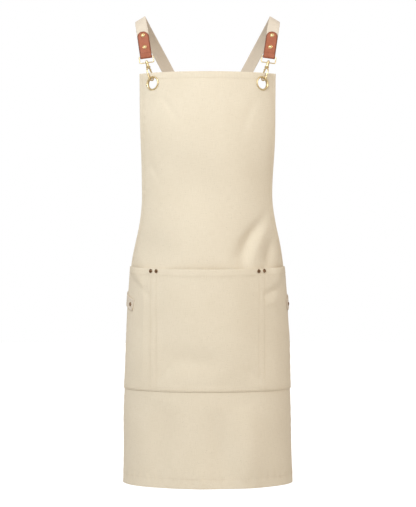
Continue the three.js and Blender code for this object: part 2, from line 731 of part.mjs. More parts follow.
function eyelet() {
  const half = BRASS_WALL / 2;
  return turned(
    [
      [EYELET_BORE, EYELET_BACK - half],
      [EYELET_BORE + half, EYELET_BACK - BRASS_WALL],
      [EYELET_BACK_FLANGE, EYELET_BACK - BRASS_WALL],
      [EYELET_BACK_FLANGE, EYELET_BACK],
      [EYELET_TUBE, EYELET_BACK],
      [EYELET_TUBE, GAP],
      [EYELET_FLANGE, GAP],
      [EYELET_FLANGE, GAP + half],
      [EYELET_FLANGE - BRASS_WALL, GAP + BRASS_WALL],
      [EYELET_BORE + half, GAP + BRASS_WALL],
      [EYELET_BORE, GAP + half],
      [EYELET_BORE, EYELET_BACK - half],
    ],
    EYELET_SIDES,
  );
}

// Assembly

const apron = new THREE.Group();

const canvas = { color: 0xe8dcc6, roughness: 0.9, metalness: 0 };
const webbing = { color: 0xe6d9c4, roughness: 0.95, metalness: 0 };
const leather = { color: 0xb0653f, roughness: 0.6, metalness: 0 };
const brass = { color: 0xd9b26a, roughness: 0.25, metalness: 1 };
const antique = { color: 0x7d6446, roughness: 0.45, metalness: 1 };

// A named piece. With a matrix, its geometry is in the fitting's own frame and the matrix places it.
function add(name, geometry, finish, matrix = new THREE.Matrix4(), parent = apron) {
  const mesh = new THREE.Mesh(geometry, new THREE.MeshStandardMaterial(finish));
  mesh.name = name;
  mesh.applyMatrix4(matrix);
  parent.add(mesh);
}

const SIDES = { left: -1, right: 1 };
const POCKET_RIVET_HIGH = SEAM_GAP + CLOTH + POCKET_HEM_EXTRA + GAP;
const SIDE_RIVET_HIGH = STRAP_LIFT + STRAP_THICKNESS / 2 + GAP;

// Each rivet through the pocket and the panel, with its matrix at the panel's outer face.
const pocketRivets = [];
for (const [label, side] of Object.entries(SIDES))
  for (const [which, shift] of Object.entries({ outer: SEAM_WIDTH / 2, inner: -SEAM_WIDTH / 2 })) {
    const run = side * (SEAM_RUN + shift);
    const edge = run / halfRun(POCKET_TOP);
    const drop = POCKET_TOP - POCKET_RISE * edge * edge + POCKET_RIVET_DROP;
    pocketRivets.push({ name: `pocket_rivet_${label}_${which}`, matrix: clothPlace(run, drop, 0) });
  }

const sideRivets = Object.entries(SIDES).map(([label, side]) => {
  const run = side * (STRAP_END_RUN[label] + SIDE_RIVET_INSET);
  return { name: `side_rivet_${label}`, matrix: clothPlace(run, STRAP_DROP - BIB_DROP, 0) };
});

// What a rivet takes out of the cloth: its shank's hole, and the cloth that its heads press flat.
function rivetRoom(matrix, high) {
  const head = CLOTH_RIVET.radius + GAP;
  const shank = CLOTH_RIVET.shank + GAP;
  const profile = [
    [0, -CUT_REACH],
    [head, -CUT_REACH],
    [head, -CLOTH],
    [shank, -CLOTH],
    [shank, high - GAP],
    [head, high - GAP],
    [head, CUT_REACH],
    [0, CUT_REACH],
  ];
  return turned(profile, 12).applyMatrix4(matrix);
}

const eyeletPlaces = Object.entries(SIDES).map(([label, side]) => ({
  name: `eyelet_${label}`,
  matrix: clothPlace(side * EYELET_RUN, EYELET_DROP, 0),
}));

const eyeletHoles = eyeletPlaces.map(({ matrix }) =>
  post(EYELET_TUBE + GAP, -CUT_REACH, CUT_REACH, EYELET_SIDES).applyMatrix4(matrix),
);
const rivetRooms = [
  ...pocketRivets.map(({ matrix }) => rivetRoom(matrix, POCKET_RIVET_HIGH)),
  ...sideRivets.map(({ matrix }) => rivetRoom(matrix, SIDE_RIVET_HIGH)),
];
add("apron_panel", cut(apronPanel(), ...eyeletHoles, ...rivetRooms), canvas);
add("pocket_panel", cut(pocketPanel(), ...rivetRooms), canvas);

for (const { name, matrix } of eyeletPlaces) add(name, eyelet(), brass, matrix);

function addClothRivets(rivets, high) {
  const profile = rivetProfile(CLOTH_RIVET, high, -CLOTH - GAP);
  for (const { name, matrix } of rivets) add(name, turned(profile, RIVET_SIDES), antique, matrix);
}
addClothRivets(pocketRivets, POCKET_RIVET_HIGH);
addClothRivets(sideRivets, SIDE_RIVET_HIGH);

for (const [label, side] of Object.entries(SIDES)) {
  const frame = tabFrame(side);
  const tabRivetPlaces = { upper: TAB_RIVET_UPPER, lower: TAB_RIVET_LOWER };
  const tabHoles = Object.values(tabRivetPlaces).map((down) =>
    post(TAB_RIVET.shank + GAP, -CUT_REACH, CUT_REACH, RIVET_SIDES).translate(0, -down, 0),
  );
  const strapHoles = tabHoles.map((hole) => hole.clone().applyMatrix4(frame));
  const endRivet = sideRivets.find(({ name }) => name === `side_rivet_${side < 0 ? "right" : "left"}`);
  const endRoom = rivetRoom(endRivet.matrix, SIDE_RIVET_HIGH);
  add(`strap_${label}`, cut(strap(side), ...strapHoles, endRoom), webbing);
  add(`leather_tab_${label}`, cut(leatherTab(), ...tabHoles), leather, frame);
  for (const [which, down] of Object.entries(tabRivetPlaces)) {
    const reach = PLY_INNER + LEATHER + GAP;
    const profile = rivetProfile(TAB_RIVET, reach, -reach);
    const seat = frame.clone().multiply(new THREE.Matrix4().makeTranslation(0, -down, 0));
    add(`tab_rivet_${label}_${which}`, turned(profile, RIVET_SIDES), brass, seat);
  }
  add(`loop_${label}`, loop(side), brass);
  const { matrix, reach } = hookFrame(side);
  const swivel = new THREE.Group();
  swivel.applyMatrix4(matrix);
  apron.add(swivel);
  add(`hook_${label}`, hook(reach), brass, undefined, swivel);
  const pivot = new THREE.Matrix4().makeTranslation(0, GATE_PIVOT.y, GATE_PIVOT.z);
  add(`gate_${label}`, gate(reach), brass, pivot, swivel);
}

export default apron;
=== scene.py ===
"""Cross back apron: a canvas bib apron with a pocket panel, webbing straps that cross at the back, and
leather tabs with swivel snap hooks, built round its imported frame. Metres, +Z up, the front faces -Y.
Left and right are those of someone who looks at the front."""

import json
import math

import bpy
import numpy as np
from bpy.props import FloatProperty, FloatVectorProperty, PointerProperty
from mathutils import Matrix, Vector


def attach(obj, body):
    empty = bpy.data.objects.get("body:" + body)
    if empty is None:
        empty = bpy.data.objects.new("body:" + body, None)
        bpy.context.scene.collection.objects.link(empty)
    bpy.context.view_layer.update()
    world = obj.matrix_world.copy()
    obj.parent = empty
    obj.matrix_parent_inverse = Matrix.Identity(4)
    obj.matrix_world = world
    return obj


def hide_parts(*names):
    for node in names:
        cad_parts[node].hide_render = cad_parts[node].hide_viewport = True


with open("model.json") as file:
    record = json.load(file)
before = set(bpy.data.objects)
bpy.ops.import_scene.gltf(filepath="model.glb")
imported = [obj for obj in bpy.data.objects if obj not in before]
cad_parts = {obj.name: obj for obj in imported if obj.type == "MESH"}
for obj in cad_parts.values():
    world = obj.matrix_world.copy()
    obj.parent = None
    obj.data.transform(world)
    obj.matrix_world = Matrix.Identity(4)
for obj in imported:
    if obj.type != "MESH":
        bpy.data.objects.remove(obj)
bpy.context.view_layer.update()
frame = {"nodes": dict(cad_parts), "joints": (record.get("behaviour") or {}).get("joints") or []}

bl_info = {
    "name": "Cross Back Apron",
    "version": (1, 0, 0),
    "blender": (4, 5, 0),
    "location": "3D View > Sidebar > Apron",
    "description": "Builds a canvas apron with crossed straps and snap hooks round its packed frame",
    "category": "Add Mesh",
}


def length(name, description, default):
    return FloatProperty(name=name, description=description, default=default, unit="LENGTH", precision=4)


def colour(name, description, default):
    return FloatVectorProperty(
        name=name, description=description, default=default, subtype="COLOR", size=3, min=0, max=1
    )


class CanvasSizes(bpy.types.PropertyGroup):
    long: length("Length", "From the bib's edge to the hem", 0.864)
    bib_width: length("Bib width", "Cut width of the bib", 0.314)
    full_width: length("Full width", "Cut width below the armholes", 0.49)
    bib_drop: length("Bib drop", "From the straps' crests down to the bib's edge", 0.12)
    armhole_start: length("Armhole start", "From the bib's edge to where the armholes begin", 0.25)
    armhole_depth: length("Armhole depth", "Height of the armhole curves", 0.205)
    thick: length("Canvas", "Thickness of the canvas", 0.0016)
    hem_extra: length("Hem extra", "What a turned hem adds to the thickness", 0.001)
    top_hem: length("Top hem", "Height of the hem along the bib's edge", 0.015)
    side_hem: length("Side hem", "Width of the hems along the sides", 0.012)
    bottom_hem: length("Bottom hem", "Height of the hem along the bottom", 0.022)
    torso_half_width: length("Torso half width", "Half width of the torso under the canvas", 0.18)
    torso_depth: length("Torso depth", "From the torso's middle to its front", 0.12)


class PocketSizes(bpy.types.PropertyGroup):
    top: length("Top", "From the bib's edge to the pocket's edge, on the middle line", 0.411)
    high: length("Height", "From the pocket's edge to its bottom seam", 0.253)
    rise: length("Rise", "How much higher the pocket's edge is at the sides", 0.006)
    gape: length("Middle gape", "How far the middle pocket stands off", 0.0085)
    side_gape: length("Side gape", "How far the side pockets stand off", 0.006)
    hem: length("Hem", "Height of the hem along the pocket's edge", 0.015)
    hem_extra: length("Hem extra", "What the pocket's hem adds to the thickness", 0.0006)
    seam_run: length("Seam run", "From the middle line to the double seams", 0.117)
    seam_width: length("Seam width", "Between the two rows of a double seam", 0.014)
    seam_margin: length("Seam margin", "Flat cloth beside a row of stitches", 0.009)
    bottom_seam: length("Bottom seam", "Height of the flat cloth along the pocket's bottom", 0.014)
    seam_gap: length("Seam gap", "Between the canvas and the pocket where they are sewn", 0.0005)


class StrapSizes(bpy.types.PropertyGroup):
    wide: length("Width", "Width of the webbing", 0.025)
    thick: length("Thickness", "Thickness of the webbing", 0.002)
    shoulder_half: length("Shoulder half", "From the middle line to a strap's crest", 0.143)
    back_depth: length("Back depth", "From the crests back to the crossing", 0.112)
    drop: length("Drop", "From the crests down to the straps' lower ends", 0.605)
    crossing_bump: length("Crossing bump", "How far the outer strap stands off at the crossing", 0.0034)
    end_slope: FloatProperty(
        name="End slope", description="Slope of the lower ends", default=math.radians(15), subtype="ANGLE"
    )
    end_run_left: length("Left end", "From the middle line round to the left lower end", 0.178)
    end_run_right: length("Right end", "From the middle line round to the right lower end", 0.204)
    rivet_inset: length("Rivet inset", "From a lower end to its rivet", 0.009)


class LeatherSizes(bpy.types.PropertyGroup):
    long: length("Length", "From a tab's round top to its fold", 0.061)
    wide: length("Width", "Width of the leather", 0.025)
    thick: length("Thickness", "Thickness of the leather", 0.002)
    rivet_upper: length("Upper rivet", "From the top to the upper rivet", 0.009)
    rivet_lower: length("Lower rivet", "From the top to the lower rivet", 0.036)
    top_across: length("Top across", "From the middle line to the tab's top", 0.1372)
    top_front: length("Top front", "From the crests forward to the tab's top", 0.046)
    top_down: length("Top down", "From the crests down to the tab's top", 0.0313)
    lean_inward: length("Lean inward", "How far the tab's top lies outside its fold", 0.0088)
    lean_forward: length("Lean forward", "How far the tab's fold lies in front of its top", 0.0177)


class FittingSizes(bpy.types.PropertyGroup):
    gap: length("Gap", "Clearance between fittings", 0.0003)
    loop_inside: length("Loop inside", "Inside width of the rectangular loops", 0.027)
    loop_bar: length("Loop bar", "Thickness of the loops' wire", 0.0024)
    loop_pitch: length("Loop pitch", "Between the middles of a loop's two bars", 0.0144)
    eyelet_run: length("Eyelet run", "From the middle line to an eyelet", 0.12)
    eyelet_drop: length("Eyelet drop", "From the bib's edge to an eyelet", 0.0225)
    eyelet_bore: length("Eyelet bore", "Radius of an eyelet's hole", 0.0116)
    eyelet_tube: length("Eyelet tube", "Outer radius of an eyelet's tube", 0.0129)
    eyelet_flange: length("Eyelet flange", "Outer radius of an eyelet's front flange", 0.0152)
    eyelet_back_flange: length("Eyelet back flange", "Outer radius of its back flange", 0.0148)
    eyelet_depth: length("Eyelet depth", "How far the back flange lies behind the hem", 0.0015)
    brass_wall: length("Brass wall", "Wall of an eyelet", 0.0013)
    pocket_rivet_drop: length("Pocket rivet drop", "From the pocket's edge to its rivets", 0.0055)
    cloth_rivet: length("Cloth rivet", "Radius of the rivets on the cloth", 0.004)
    tab_rivet: length("Tab rivet", "Radius of the rivets on the leather", 0.0043)
    wire: length("Hook wire", "Radius of a hook's wire", 0.0016)
    bend: length("Hook bend", "Radius of a hook's bend", 0.007)
    barrel: length("Barrel", "Radius of a hook's barrel", 0.0032)
    barrel_low: length("Barrel's foot", "From the loop's bar down to the barrel's foot", 0.009)
    spine_top: length("Spine's top", "From the loop's bar down to the straight spine", 0.019)
    loop_corner: length("Loop corner", "Radius of a loop's corners", 0.0026)
    gate_hub: length("Gate hub", "Radius of a gate about its pivot", 0.0019)
    gate_tip: length("Gate tip", "Radius of a gate's lower end", 0.0013)
    thumb_nub: length("Thumb nub", "How far the thumb nub stands out of a gate", 0.0016)
    stem: length("Stem", "Radius of the stem through the boss", 0.0015)
    boss: length("Boss", "Radius of the boss on the loop's bar", 0.003)
    boss_half: length("Boss half", "Half height of the boss", 0.0021)
    gate_wide: length("Gate", "Width of a gate", 0.0024)
    nose_rise: length("Nose", "From the bend up to the nose", 0.003)
    nose_gap: length("Nose gap", "Between the nose and the gate", 0.0009)


class Finishes(bpy.types.PropertyGroup):
    canvas: colour("Canvas", "Natural cotton canvas", (0.81, 0.705, 0.55))
    canvas_shade: colour("Canvas shade", "Darker yarns of the canvas", (0.7, 0.59, 0.43))
    webbing: colour("Webbing", "Natural cotton webbing", (0.77, 0.66, 0.53))
    thread: colour("Thread", "Sewing thread", (0.78, 0.67, 0.52))
    leather: colour("Leather", "Tan leather", (0.275, 0.08, 0.036))
    leather_edge: colour("Leather edge", "Burnished edges of the leather", (0.12, 0.035, 0.014))
    brass: colour("Brass", "Polished pale gold of the fittings", (0.84, 0.67, 0.38))
    antique: colour("Antique brass", "Darkened brass of the cloth's rivets", (0.27, 0.17, 0.1))
    floor: colour("Floor", "Pale floor", (0.7, 0.7, 0.7))


# The torso's cross sections down the front, as shares of the named sizes.
SECTIONS = (
    {"down": 0, "wide": 0.917, "deep": 0.867},
    {"down": 0.15, "wide": 0.922, "deep": 0.983},
    {"down": 0.3, "wide": 0.85, "deep": 0.95},
    {"down": 0.42, "wide": 0.883, "deep": 0.967},
    {"down": 0.48, "wide": 0.908, "deep": 0.992},
    {"down": 0.56, "wide": 0.937, "deep": 1.008},
    {"down": 0.77, "wide": 0.979, "deep": 1.033},
    {"down": 1, "wide": 1.003, "deep": 1.042},
)

# Main folds: start, middle and end of each line as (share of half the full width, share of the length),
# then half the fold's width and its height out of the cloth.
FOLDS = {
    "arm valley": ((0.49, 0.362), (0.29, 0.407), (0.25, 0.478), 0.015, -0.007),
    "arm ridge": ((0.57, 0.366), (0.4, 0.42), (0.36, 0.49), 0.01, 0.001),
    "arm dip": ((0.62, 0.4), (0.58, 0.44), (0.55, 0.49), 0.015, -0.005),
    "bib drag": ((-0.5, 0.14), (-0.16, 0.27), (0.24, 0.35), 0.046, -0.004),
    "left drag": ((-0.54, 0.38), (-0.42, 0.43), (-0.37, 0.475), 0.022, -0.003),
    "pocket sag": ((-0.42, 0.69), (-0.12, 0.698), (0.19, 0.692), 0.022, -0.0035),
    "crease": ((0.48, 0.539), (0.6, 0.531), (0.71, 0.516), 0.008, -0.003),
    "skirt valley": ((0.06, 0.81), (0.12, 0.91), (0.17, 1.04), 0.024, -0.006),
    "skirt ridge": ((0.3, 0.8), (0.36, 0.9), (0.4, 1.04), 0.03, 0.006),
    "left skirt fold": ((-0.36, 0.79), (-0.41, 0.9), (-0.44, 1.04), 0.028, -0.005),
}
# Small creases that only show close up, in the same form.
CREASES = {
    "bib corner pull": ((-0.46, 0.04), (-0.36, 0.075), (-0.22, 0.13), 0.008, -0.0012),
    "bib middle pinch": ((0.05, 0.035), (0.1, 0.06), (0.13, 0.1), 0.007, -0.0011),
    "right corner pull": ((0.46, 0.05), (0.36, 0.1), (0.28, 0.16), 0.009, -0.0012),
    "bib left crease": ((-0.56, 0.2), (-0.5, 0.24), (-0.4, 0.27), 0.008, -0.0011),
    "left pocket crease": ((-0.62, 0.515), (-0.56, 0.535), (-0.5, 0.54), 0.007, -0.0016),
    "right fan": ((0.5, 0.56), (0.58, 0.558), (0.68, 0.55), 0.007, 0.0012),
    "seam foot left": ((-0.45, 0.755), (-0.38, 0.72), (-0.3, 0.7), 0.009, -0.0014),
    "seam foot right": ((0.46, 0.755), (0.4, 0.725), (0.3, 0.705), 0.009, -0.0014),
    "hem ripple": ((-0.1, 0.93), (-0.07, 0.97), (-0.06, 1.03), 0.014, 0.0016),
}
# Folds that run down behind the pocket's edge, in the same form. The pocket doesn't follow them.
MOUTH_FOLDS = {
    "deep valley": ((0.6, 0.325), (0.3, 0.4), (0.27, 0.54), 0.011, -0.0042),
    "crisp ridge": ((0.66, 0.34), (0.4, 0.41), (0.345, 0.54), 0.008, 0.0008),
    "outer valley": ((0.72, 0.36), (0.52, 0.43), (0.45, 0.54), 0.013, -0.0014),
    "left slack": ((-0.7, 0.4), (-0.5, 0.44), (-0.42, 0.54), 0.02, -0.0026),
}
FOLD_STEPS = 8

# The webbing's route from the leather tab to the back of the opposite side, as shares of the strap sizes
# (across, depth, drop), then the way its outer face looks, in degrees (heading from the front, lift).
ROUTE = {
    "collar bone": (0.985, -0.27, 0.021, 20, 42),
    "crest front": (1, -0.054, 0, 90, 59),
    "crest back": (1, 0.054, 0, 90, 59),
    "shoulder": (0.935, 0.36, 0.026, 150, 50),
    "shoulder blade": (0.815, 0.66, 0.075, 166, 32),
    "upper back": (0.6, 0.88, 0.167, 172, 12),
    "crossing": (0, 1, 0.43, 180, 0),
    "small of the back": (-0.58, 0.9, 0.7, 206, 0),
    "waist": (-0.95, 0.61, 0.855, 232, 0),
}
SIDES = {"left": -1, "right": 1}
CLOTH_EDGE = 0.0005
THREAD_LIFT = 0.0001

# The canvas as it hangs


def smooth_share(key, share):
    """A torso size at a share of the length, on the smooth curve through the cross sections."""
    downs = np.array([row["down"] for row in SECTIONS], float)
    values = np.array([row[key] for row in SECTIONS], float)
    i = np.searchsorted(downs[1:-1], share)
    before = np.maximum(i - 1, 0)
    after = np.minimum(i + 2, len(downs) - 1)
    span = downs[i + 1] - downs[i]
    slope_low = (values[i + 1] - values[before]) / (downs[i + 1] - downs[before])
    slope_high = (values[after] - values[i]) / (downs[after] - downs[i])
    t = np.clip((share - downs[i]) / span, 0, 1)
    held = values[i] * (1 + 2 * t) * (1 - t) ** 2 + values[i + 1] * t * t * (3 - 2 * t)
    return held + span * (slope_low * t * (1 - t) ** 2 + slope_high * t * t * (t - 1))


def turn_for(run, wide, deep):
    """The turn round an ellipse, from its front, at which its arc is as long as the run of cloth."""
    steps = 40
    turn = np.zeros(np.shape(run))
    for _ in range(steps):
        rate = np.hypot(wide * np.cos(turn), deep * np.sin(turn))
        middle = turn + run / steps / rate / 2
        turn = turn + run / steps / np.hypot(wide * np.cos(middle), deep * np.sin(middle))
    return turn


def smooth_step(value, low, high):
    t = np.clip((value - low) / (high - low), 0, 1)
    return t * t * (3 - 2 * t)


def ridge(distance, width):
    return np.exp(-((distance / width) ** 2))


class HangingCloth:
    """The canvas as it hangs round the torso. A place on it is a run round from the middle line and a drop
    below the bib's edge, both in metres."""

    EYELET_HOLD = 0.02
    RIVET_HOLD = 0.006
    HEM_INSIDE = 0.001
    HEM_OUTSIDE = 0.003
    GROOVE_WIDE = 0.003

    def __init__(self, scene):
        self.canvas = scene.apron_canvas
        self.pocket = scene.apron_pocket
        self.straps = scene.apron_straps
        self.fittings = scene.apron_fittings
        self.half_bib = self.canvas.bib_width / 2
        self.half_full = self.canvas.full_width / 2
        self.side_corner = self.canvas.armhole_start + self.canvas.armhole_depth
        self.pocket_bottom = self.pocket.top + self.pocket.high
        self.strap_lift = (
            self.pocket.seam_gap + self.canvas.thick + self.fittings.gap + self.straps.thick / 2
        )

    def half_run(self, drop):
        share = np.clip((drop - self.canvas.armhole_start) / self.canvas.armhole_depth, 0, 1)
        return self.half_bib + (self.half_full - self.half_bib) * (1 - np.cos(share * math.pi / 2))

    def fold_height(self, folds, run, drop):
        height = np.zeros(np.shape(run))
        size = np.array([self.half_full, self.canvas.long])
        for start, middle, end, wide, high in folds.values():
            t = np.linspace(0, 1, FOLD_STEPS + 1)[:, None]
            bend = (1 - t) ** 2 * np.array(start)
            bend = bend + 2 * t * (1 - t) * np.array(middle) + t * t * np.array(end)
            line = bend * size
            nearest = np.full(np.shape(run), np.inf)
            along = np.zeros(np.shape(run))
            for i in range(FOLD_STEPS):
                way = line[i + 1] - line[i]
                share = ((run - line[i, 0]) * way[0] + (drop - line[i, 1]) * way[1]) / (way @ way)
                share = np.clip(share, 0, 1)
                far = np.hypot(run - line[i, 0] - share * way[0], drop - line[i, 1] - share * way[1])
                closer = far < nearest
                nearest = np.where(closer, far, nearest)
                along = np.where(closer, (i + share) / FOLD_STEPS, along)
            height += high * ridge(nearest, wide) * np.sin(math.pi * along)
        return height

    def mouth_folds(self, run, drop):
        """The height of the folds that run down behind the pocket's edge, where they fade."""
        fade = 1 - smooth_step(drop, self.pocket.top + 0.004, self.pocket.top + 0.03)
        return self.fold_height(MOUTH_FOLDS, run, drop) * fade

    def pocket_edge(self, run):
        """The drop of the pocket's edge, which rises towards the sides."""
        share = run / self.half_run(self.pocket.top)
        return self.pocket.top - self.pocket.rise * share * share

    def fitting_places(self):
        """Where a fitting holds the cloth still: its run and drop, and the radius that it holds."""
        places = []
        for side in SIDES.values():
            places.append((side * self.fittings.eyelet_run, self.fittings.eyelet_drop, self.EYELET_HOLD))
            for shift in (-0.5, 0.5):
                run = side * self.pocket.seam_run + shift * self.pocket.seam_width
                drop = float(self.pocket_edge(run)) + self.fittings.pocket_rivet_drop
                places.append((run, drop, self.RIVET_HOLD))
        return places

    def hem(self, inward, high):
        """One on a turned hem of that height and nothing past it, by the distance in from the edge."""
        return 1 - smooth_step(inward, high - self.HEM_INSIDE, high + self.HEM_OUTSIDE)

    def groove(self, inward, high):
        """How deep a row of stitches draws the cloth in, by the distance in from the edge."""
        return ridge(inward - high, self.GROOVE_WIDE)

    def relief(self, run, drop):
        """Small creases, puckers along the hems and the soft unevenness of the canvas."""
        height = self.fold_height(CREASES, run, drop)
        height += 0.0007 * np.sin(2 * math.pi * (run / 0.19 + drop / 0.31) + 1.3)
        height += 0.0005 * np.sin(2 * math.pi * (drop / 0.17 - run / 0.23) + 0.4)
        edge = self.half_run(drop) - np.abs(run)
        pucker = np.sin(2 * math.pi * drop / 0.019 + 2.2 * np.sin(2 * math.pi * drop / 0.13))
        strength = 0.25 + 0.75 * np.sin(2 * math.pi * (drop / 0.29 + run / 1.3)) ** 2
        height += 0.00042 * strength * pucker * ridge(edge - self.canvas.side_hem, 0.007)
        hem = self.canvas.long - drop
        ripple = np.sin(2 * math.pi * run / 0.023 + 2 * np.sin(2 * math.pi * run / 0.15))
        height += 0.0004 * ripple * ridge(hem - self.canvas.bottom_hem, 0.009)
        height += 0.00025 * ripple * ridge(drop - self.canvas.top_hem, 0.007)
        for at_run, at_drop, radius in self.fitting_places():
            far = np.hypot(run - at_run, drop - at_drop)
            height = height * smooth_step(far, radius, 2.2 * radius)
        side_hold = smooth_step(np.hypot(np.abs(run) - self.half_full, drop - 0.47), 0.05, 0.09)
        return height * side_hold

    def place(self, run, drop, lift):
        """Points on the cloth, lifted off its outer face."""
        run, drop = np.broadcast_arrays(np.asarray(run, float), np.asarray(drop, float))
        share = drop / self.canvas.long
        wide = self.canvas.torso_half_width * smooth_share("wide", share)
        deep = self.canvas.torso_depth * smooth_share("deep", share)
        turn = turn_for(run, wide, deep)
        normal = np.stack([deep * np.sin(turn), -wide * np.cos(turn), np.zeros(run.shape)], -1)
        normal /= np.linalg.norm(normal, axis=-1, keepdims=True)
        point = np.stack([wide * np.sin(turn), -deep * np.cos(turn), -self.canvas.bib_drop - drop], -1)
        out = lift + self.fold_height(FOLDS, run, drop) + self.relief(run, drop)
        return point + normal * out[..., None]

    def frame_at(self, run, drop, lift):
        """The place of a fitting on the cloth: its Z looks out of the cloth and its Y looks up."""
        step = 0.004
        centre, right, left, low, high = (
            Vector(self.place(run + r, drop + d, 0.0))
            for r, d in ((0, 0), (step, 0), (-step, 0), (0, step), (0, -step))
        )
        across = (right - left).normalized()
        normal = (low - high).cross(across).normalized()
        up = normal.cross(across)
        turn = Matrix((across, up, normal)).transposed().to_4x4()
        return Matrix.Translation(centre + normal * lift) @ turn

    def pocket_lift(self, run, drop):
        """How far the pocket's inner face stands off the panel: sewn at its seams and gaping between."""
        pocket = self.pocket
        side = np.abs(run)
        down = np.clip((drop - pocket.top) / (pocket.high - pocket.bottom_seam), 0, 1)
        fade = np.cos(down * math.pi / 2) ** 0.7
        inner = pocket.seam_run - pocket.seam_width / 2 - pocket.seam_margin
        outer = pocket.seam_run + pocket.seam_width / 2 + pocket.seam_margin
        ends = np.where(run < 0, self.straps.end_run_left, self.straps.end_run_right) - self.straps.wide
        pull = smooth_step(drop, pocket.top, self.side_corner)
        held = (self.half_run(drop) - self.canvas.side_hem) * (1 - pull) + ends * pull
        middle = pocket.gape * fade * np.cos(np.clip(side / inner, 0, 1) * math.pi / 2)
        share = np.clip((side - outer) / (held - outer), 0, 1)
        flank = self.pocket.side_gape * fade * (1 - 0.85 * pull) * np.sin(share * math.pi) ** 2
        return pocket.seam_gap + np.where(side <= inner, middle, np.where(side <= outer, 0.0, flank))


# Mesh helpers


def deselect_all():
    for piece in bpy.context.selected_objects:
        piece.select_set(False)


def make_piece(name, vertices, faces, uvs=None):
    """A mesh object from its points and faces, with a UV map that may have a place for each vertex."""
    mesh = bpy.data.meshes.new(name)
    mesh.from_pydata(vertices.tolist(), [], faces)
    mesh.update()
    layer = mesh.uv_layers.new(name="cloth")
    if uvs is not None:
        corners = np.zeros(len(mesh.loops), np.int32)
        mesh.loops.foreach_get("vertex_index", corners)
        layer.data.foreach_set("uv", np.asarray(uvs, np.float32)[corners].ravel())
    piece = bpy.data.objects.new(name, mesh)
    bpy.context.scene.collection.objects.link(piece)
    mesh.shade_smooth()
    return piece


def apply_modifier(piece, kind, **settings):
    deselect_all()
    piece.select_set(True)
    bpy.context.view_layer.objects.active = piece
    modifier = piece.modifiers.new(kind.title(), kind)
    for key, value in settings.items():
        setattr(modifier, key, value)
    bpy.ops.object.modifier_apply(modifier=modifier.name)


def closed_sheet(name, outer, inner, run, drop):
    """A closed sheet of cloth between two grids of points, with its run and drop as its UV map."""
    rows, columns = run.shape
    index = np.arange(rows * columns).reshape(rows, columns)
    back = index + rows * columns
    fronts = np.stack([index[:-1, :-1], index[1:, :-1], index[1:, 1:], index[:-1, 1:]], -1).reshape(-1, 4)
    backs = np.stack([back[:-1, :-1], back[:-1, 1:], back[1:, 1:], back[1:, :-1]], -1).reshape(-1, 4)
    rim_index = np.concatenate([index[:, 0], index[-1, 1:], index[-2::-1, -1], index[0, -2:0:-1]])
    following = np.roll(rim_index, -1)
    half = rows * columns
    rim = np.stack([rim_index, rim_index + half, following + half, following], -1)
    uv = np.stack([run.ravel(), -drop.ravel()], -1)
    vertices = np.concatenate([outer.reshape(-1, 3), inner.reshape(-1, 3)])
    faces = np.concatenate([fronts, backs, rim]).tolist()
    return make_piece(name, vertices, faces, np.concatenate([uv, uv]))


def loft(name, rings, uvs):
    """A closed solid through rings of points, capped at both ends."""
    count, size = rings.shape[:2]
    index = np.arange(count * size).reshape(count, size)
    ahead = np.roll(index, -1, axis=1)
    walls = np.stack([index[:-1], ahead[:-1], ahead[1:], index[1:]], -1).reshape(-1, 4)
    faces = walls.tolist() + [index[0, ::-1].tolist(), index[-1].tolist()]
    return make_piece(name, rings.reshape(-1, 3), faces, uvs.reshape(-1, 2))


# Materials


def new_material(name):
    material = bpy.data.materials.new(name)
    material.use_nodes = True
    return material, material.node_tree.nodes, material.node_tree.links


def node(nodes, kind, inputs=None, **settings):
    made = nodes.new(kind)
    for key, value in settings.items():
        setattr(made, key, value)
    for key, value in (inputs or {}).items():
        made.inputs[key].default_value = value
    return made


def math_node(tree, operation, first, second=None):
    made = tree.nodes.new("ShaderNodeMath")
    made.operation = operation
    for socket, value in zip(made.inputs, (first, second)):
        if value is None:
            continue
        if isinstance(value, (int, float)):
            socket.default_value = value
        else:
            tree.links.new(value, socket)
    return made.outputs[0]


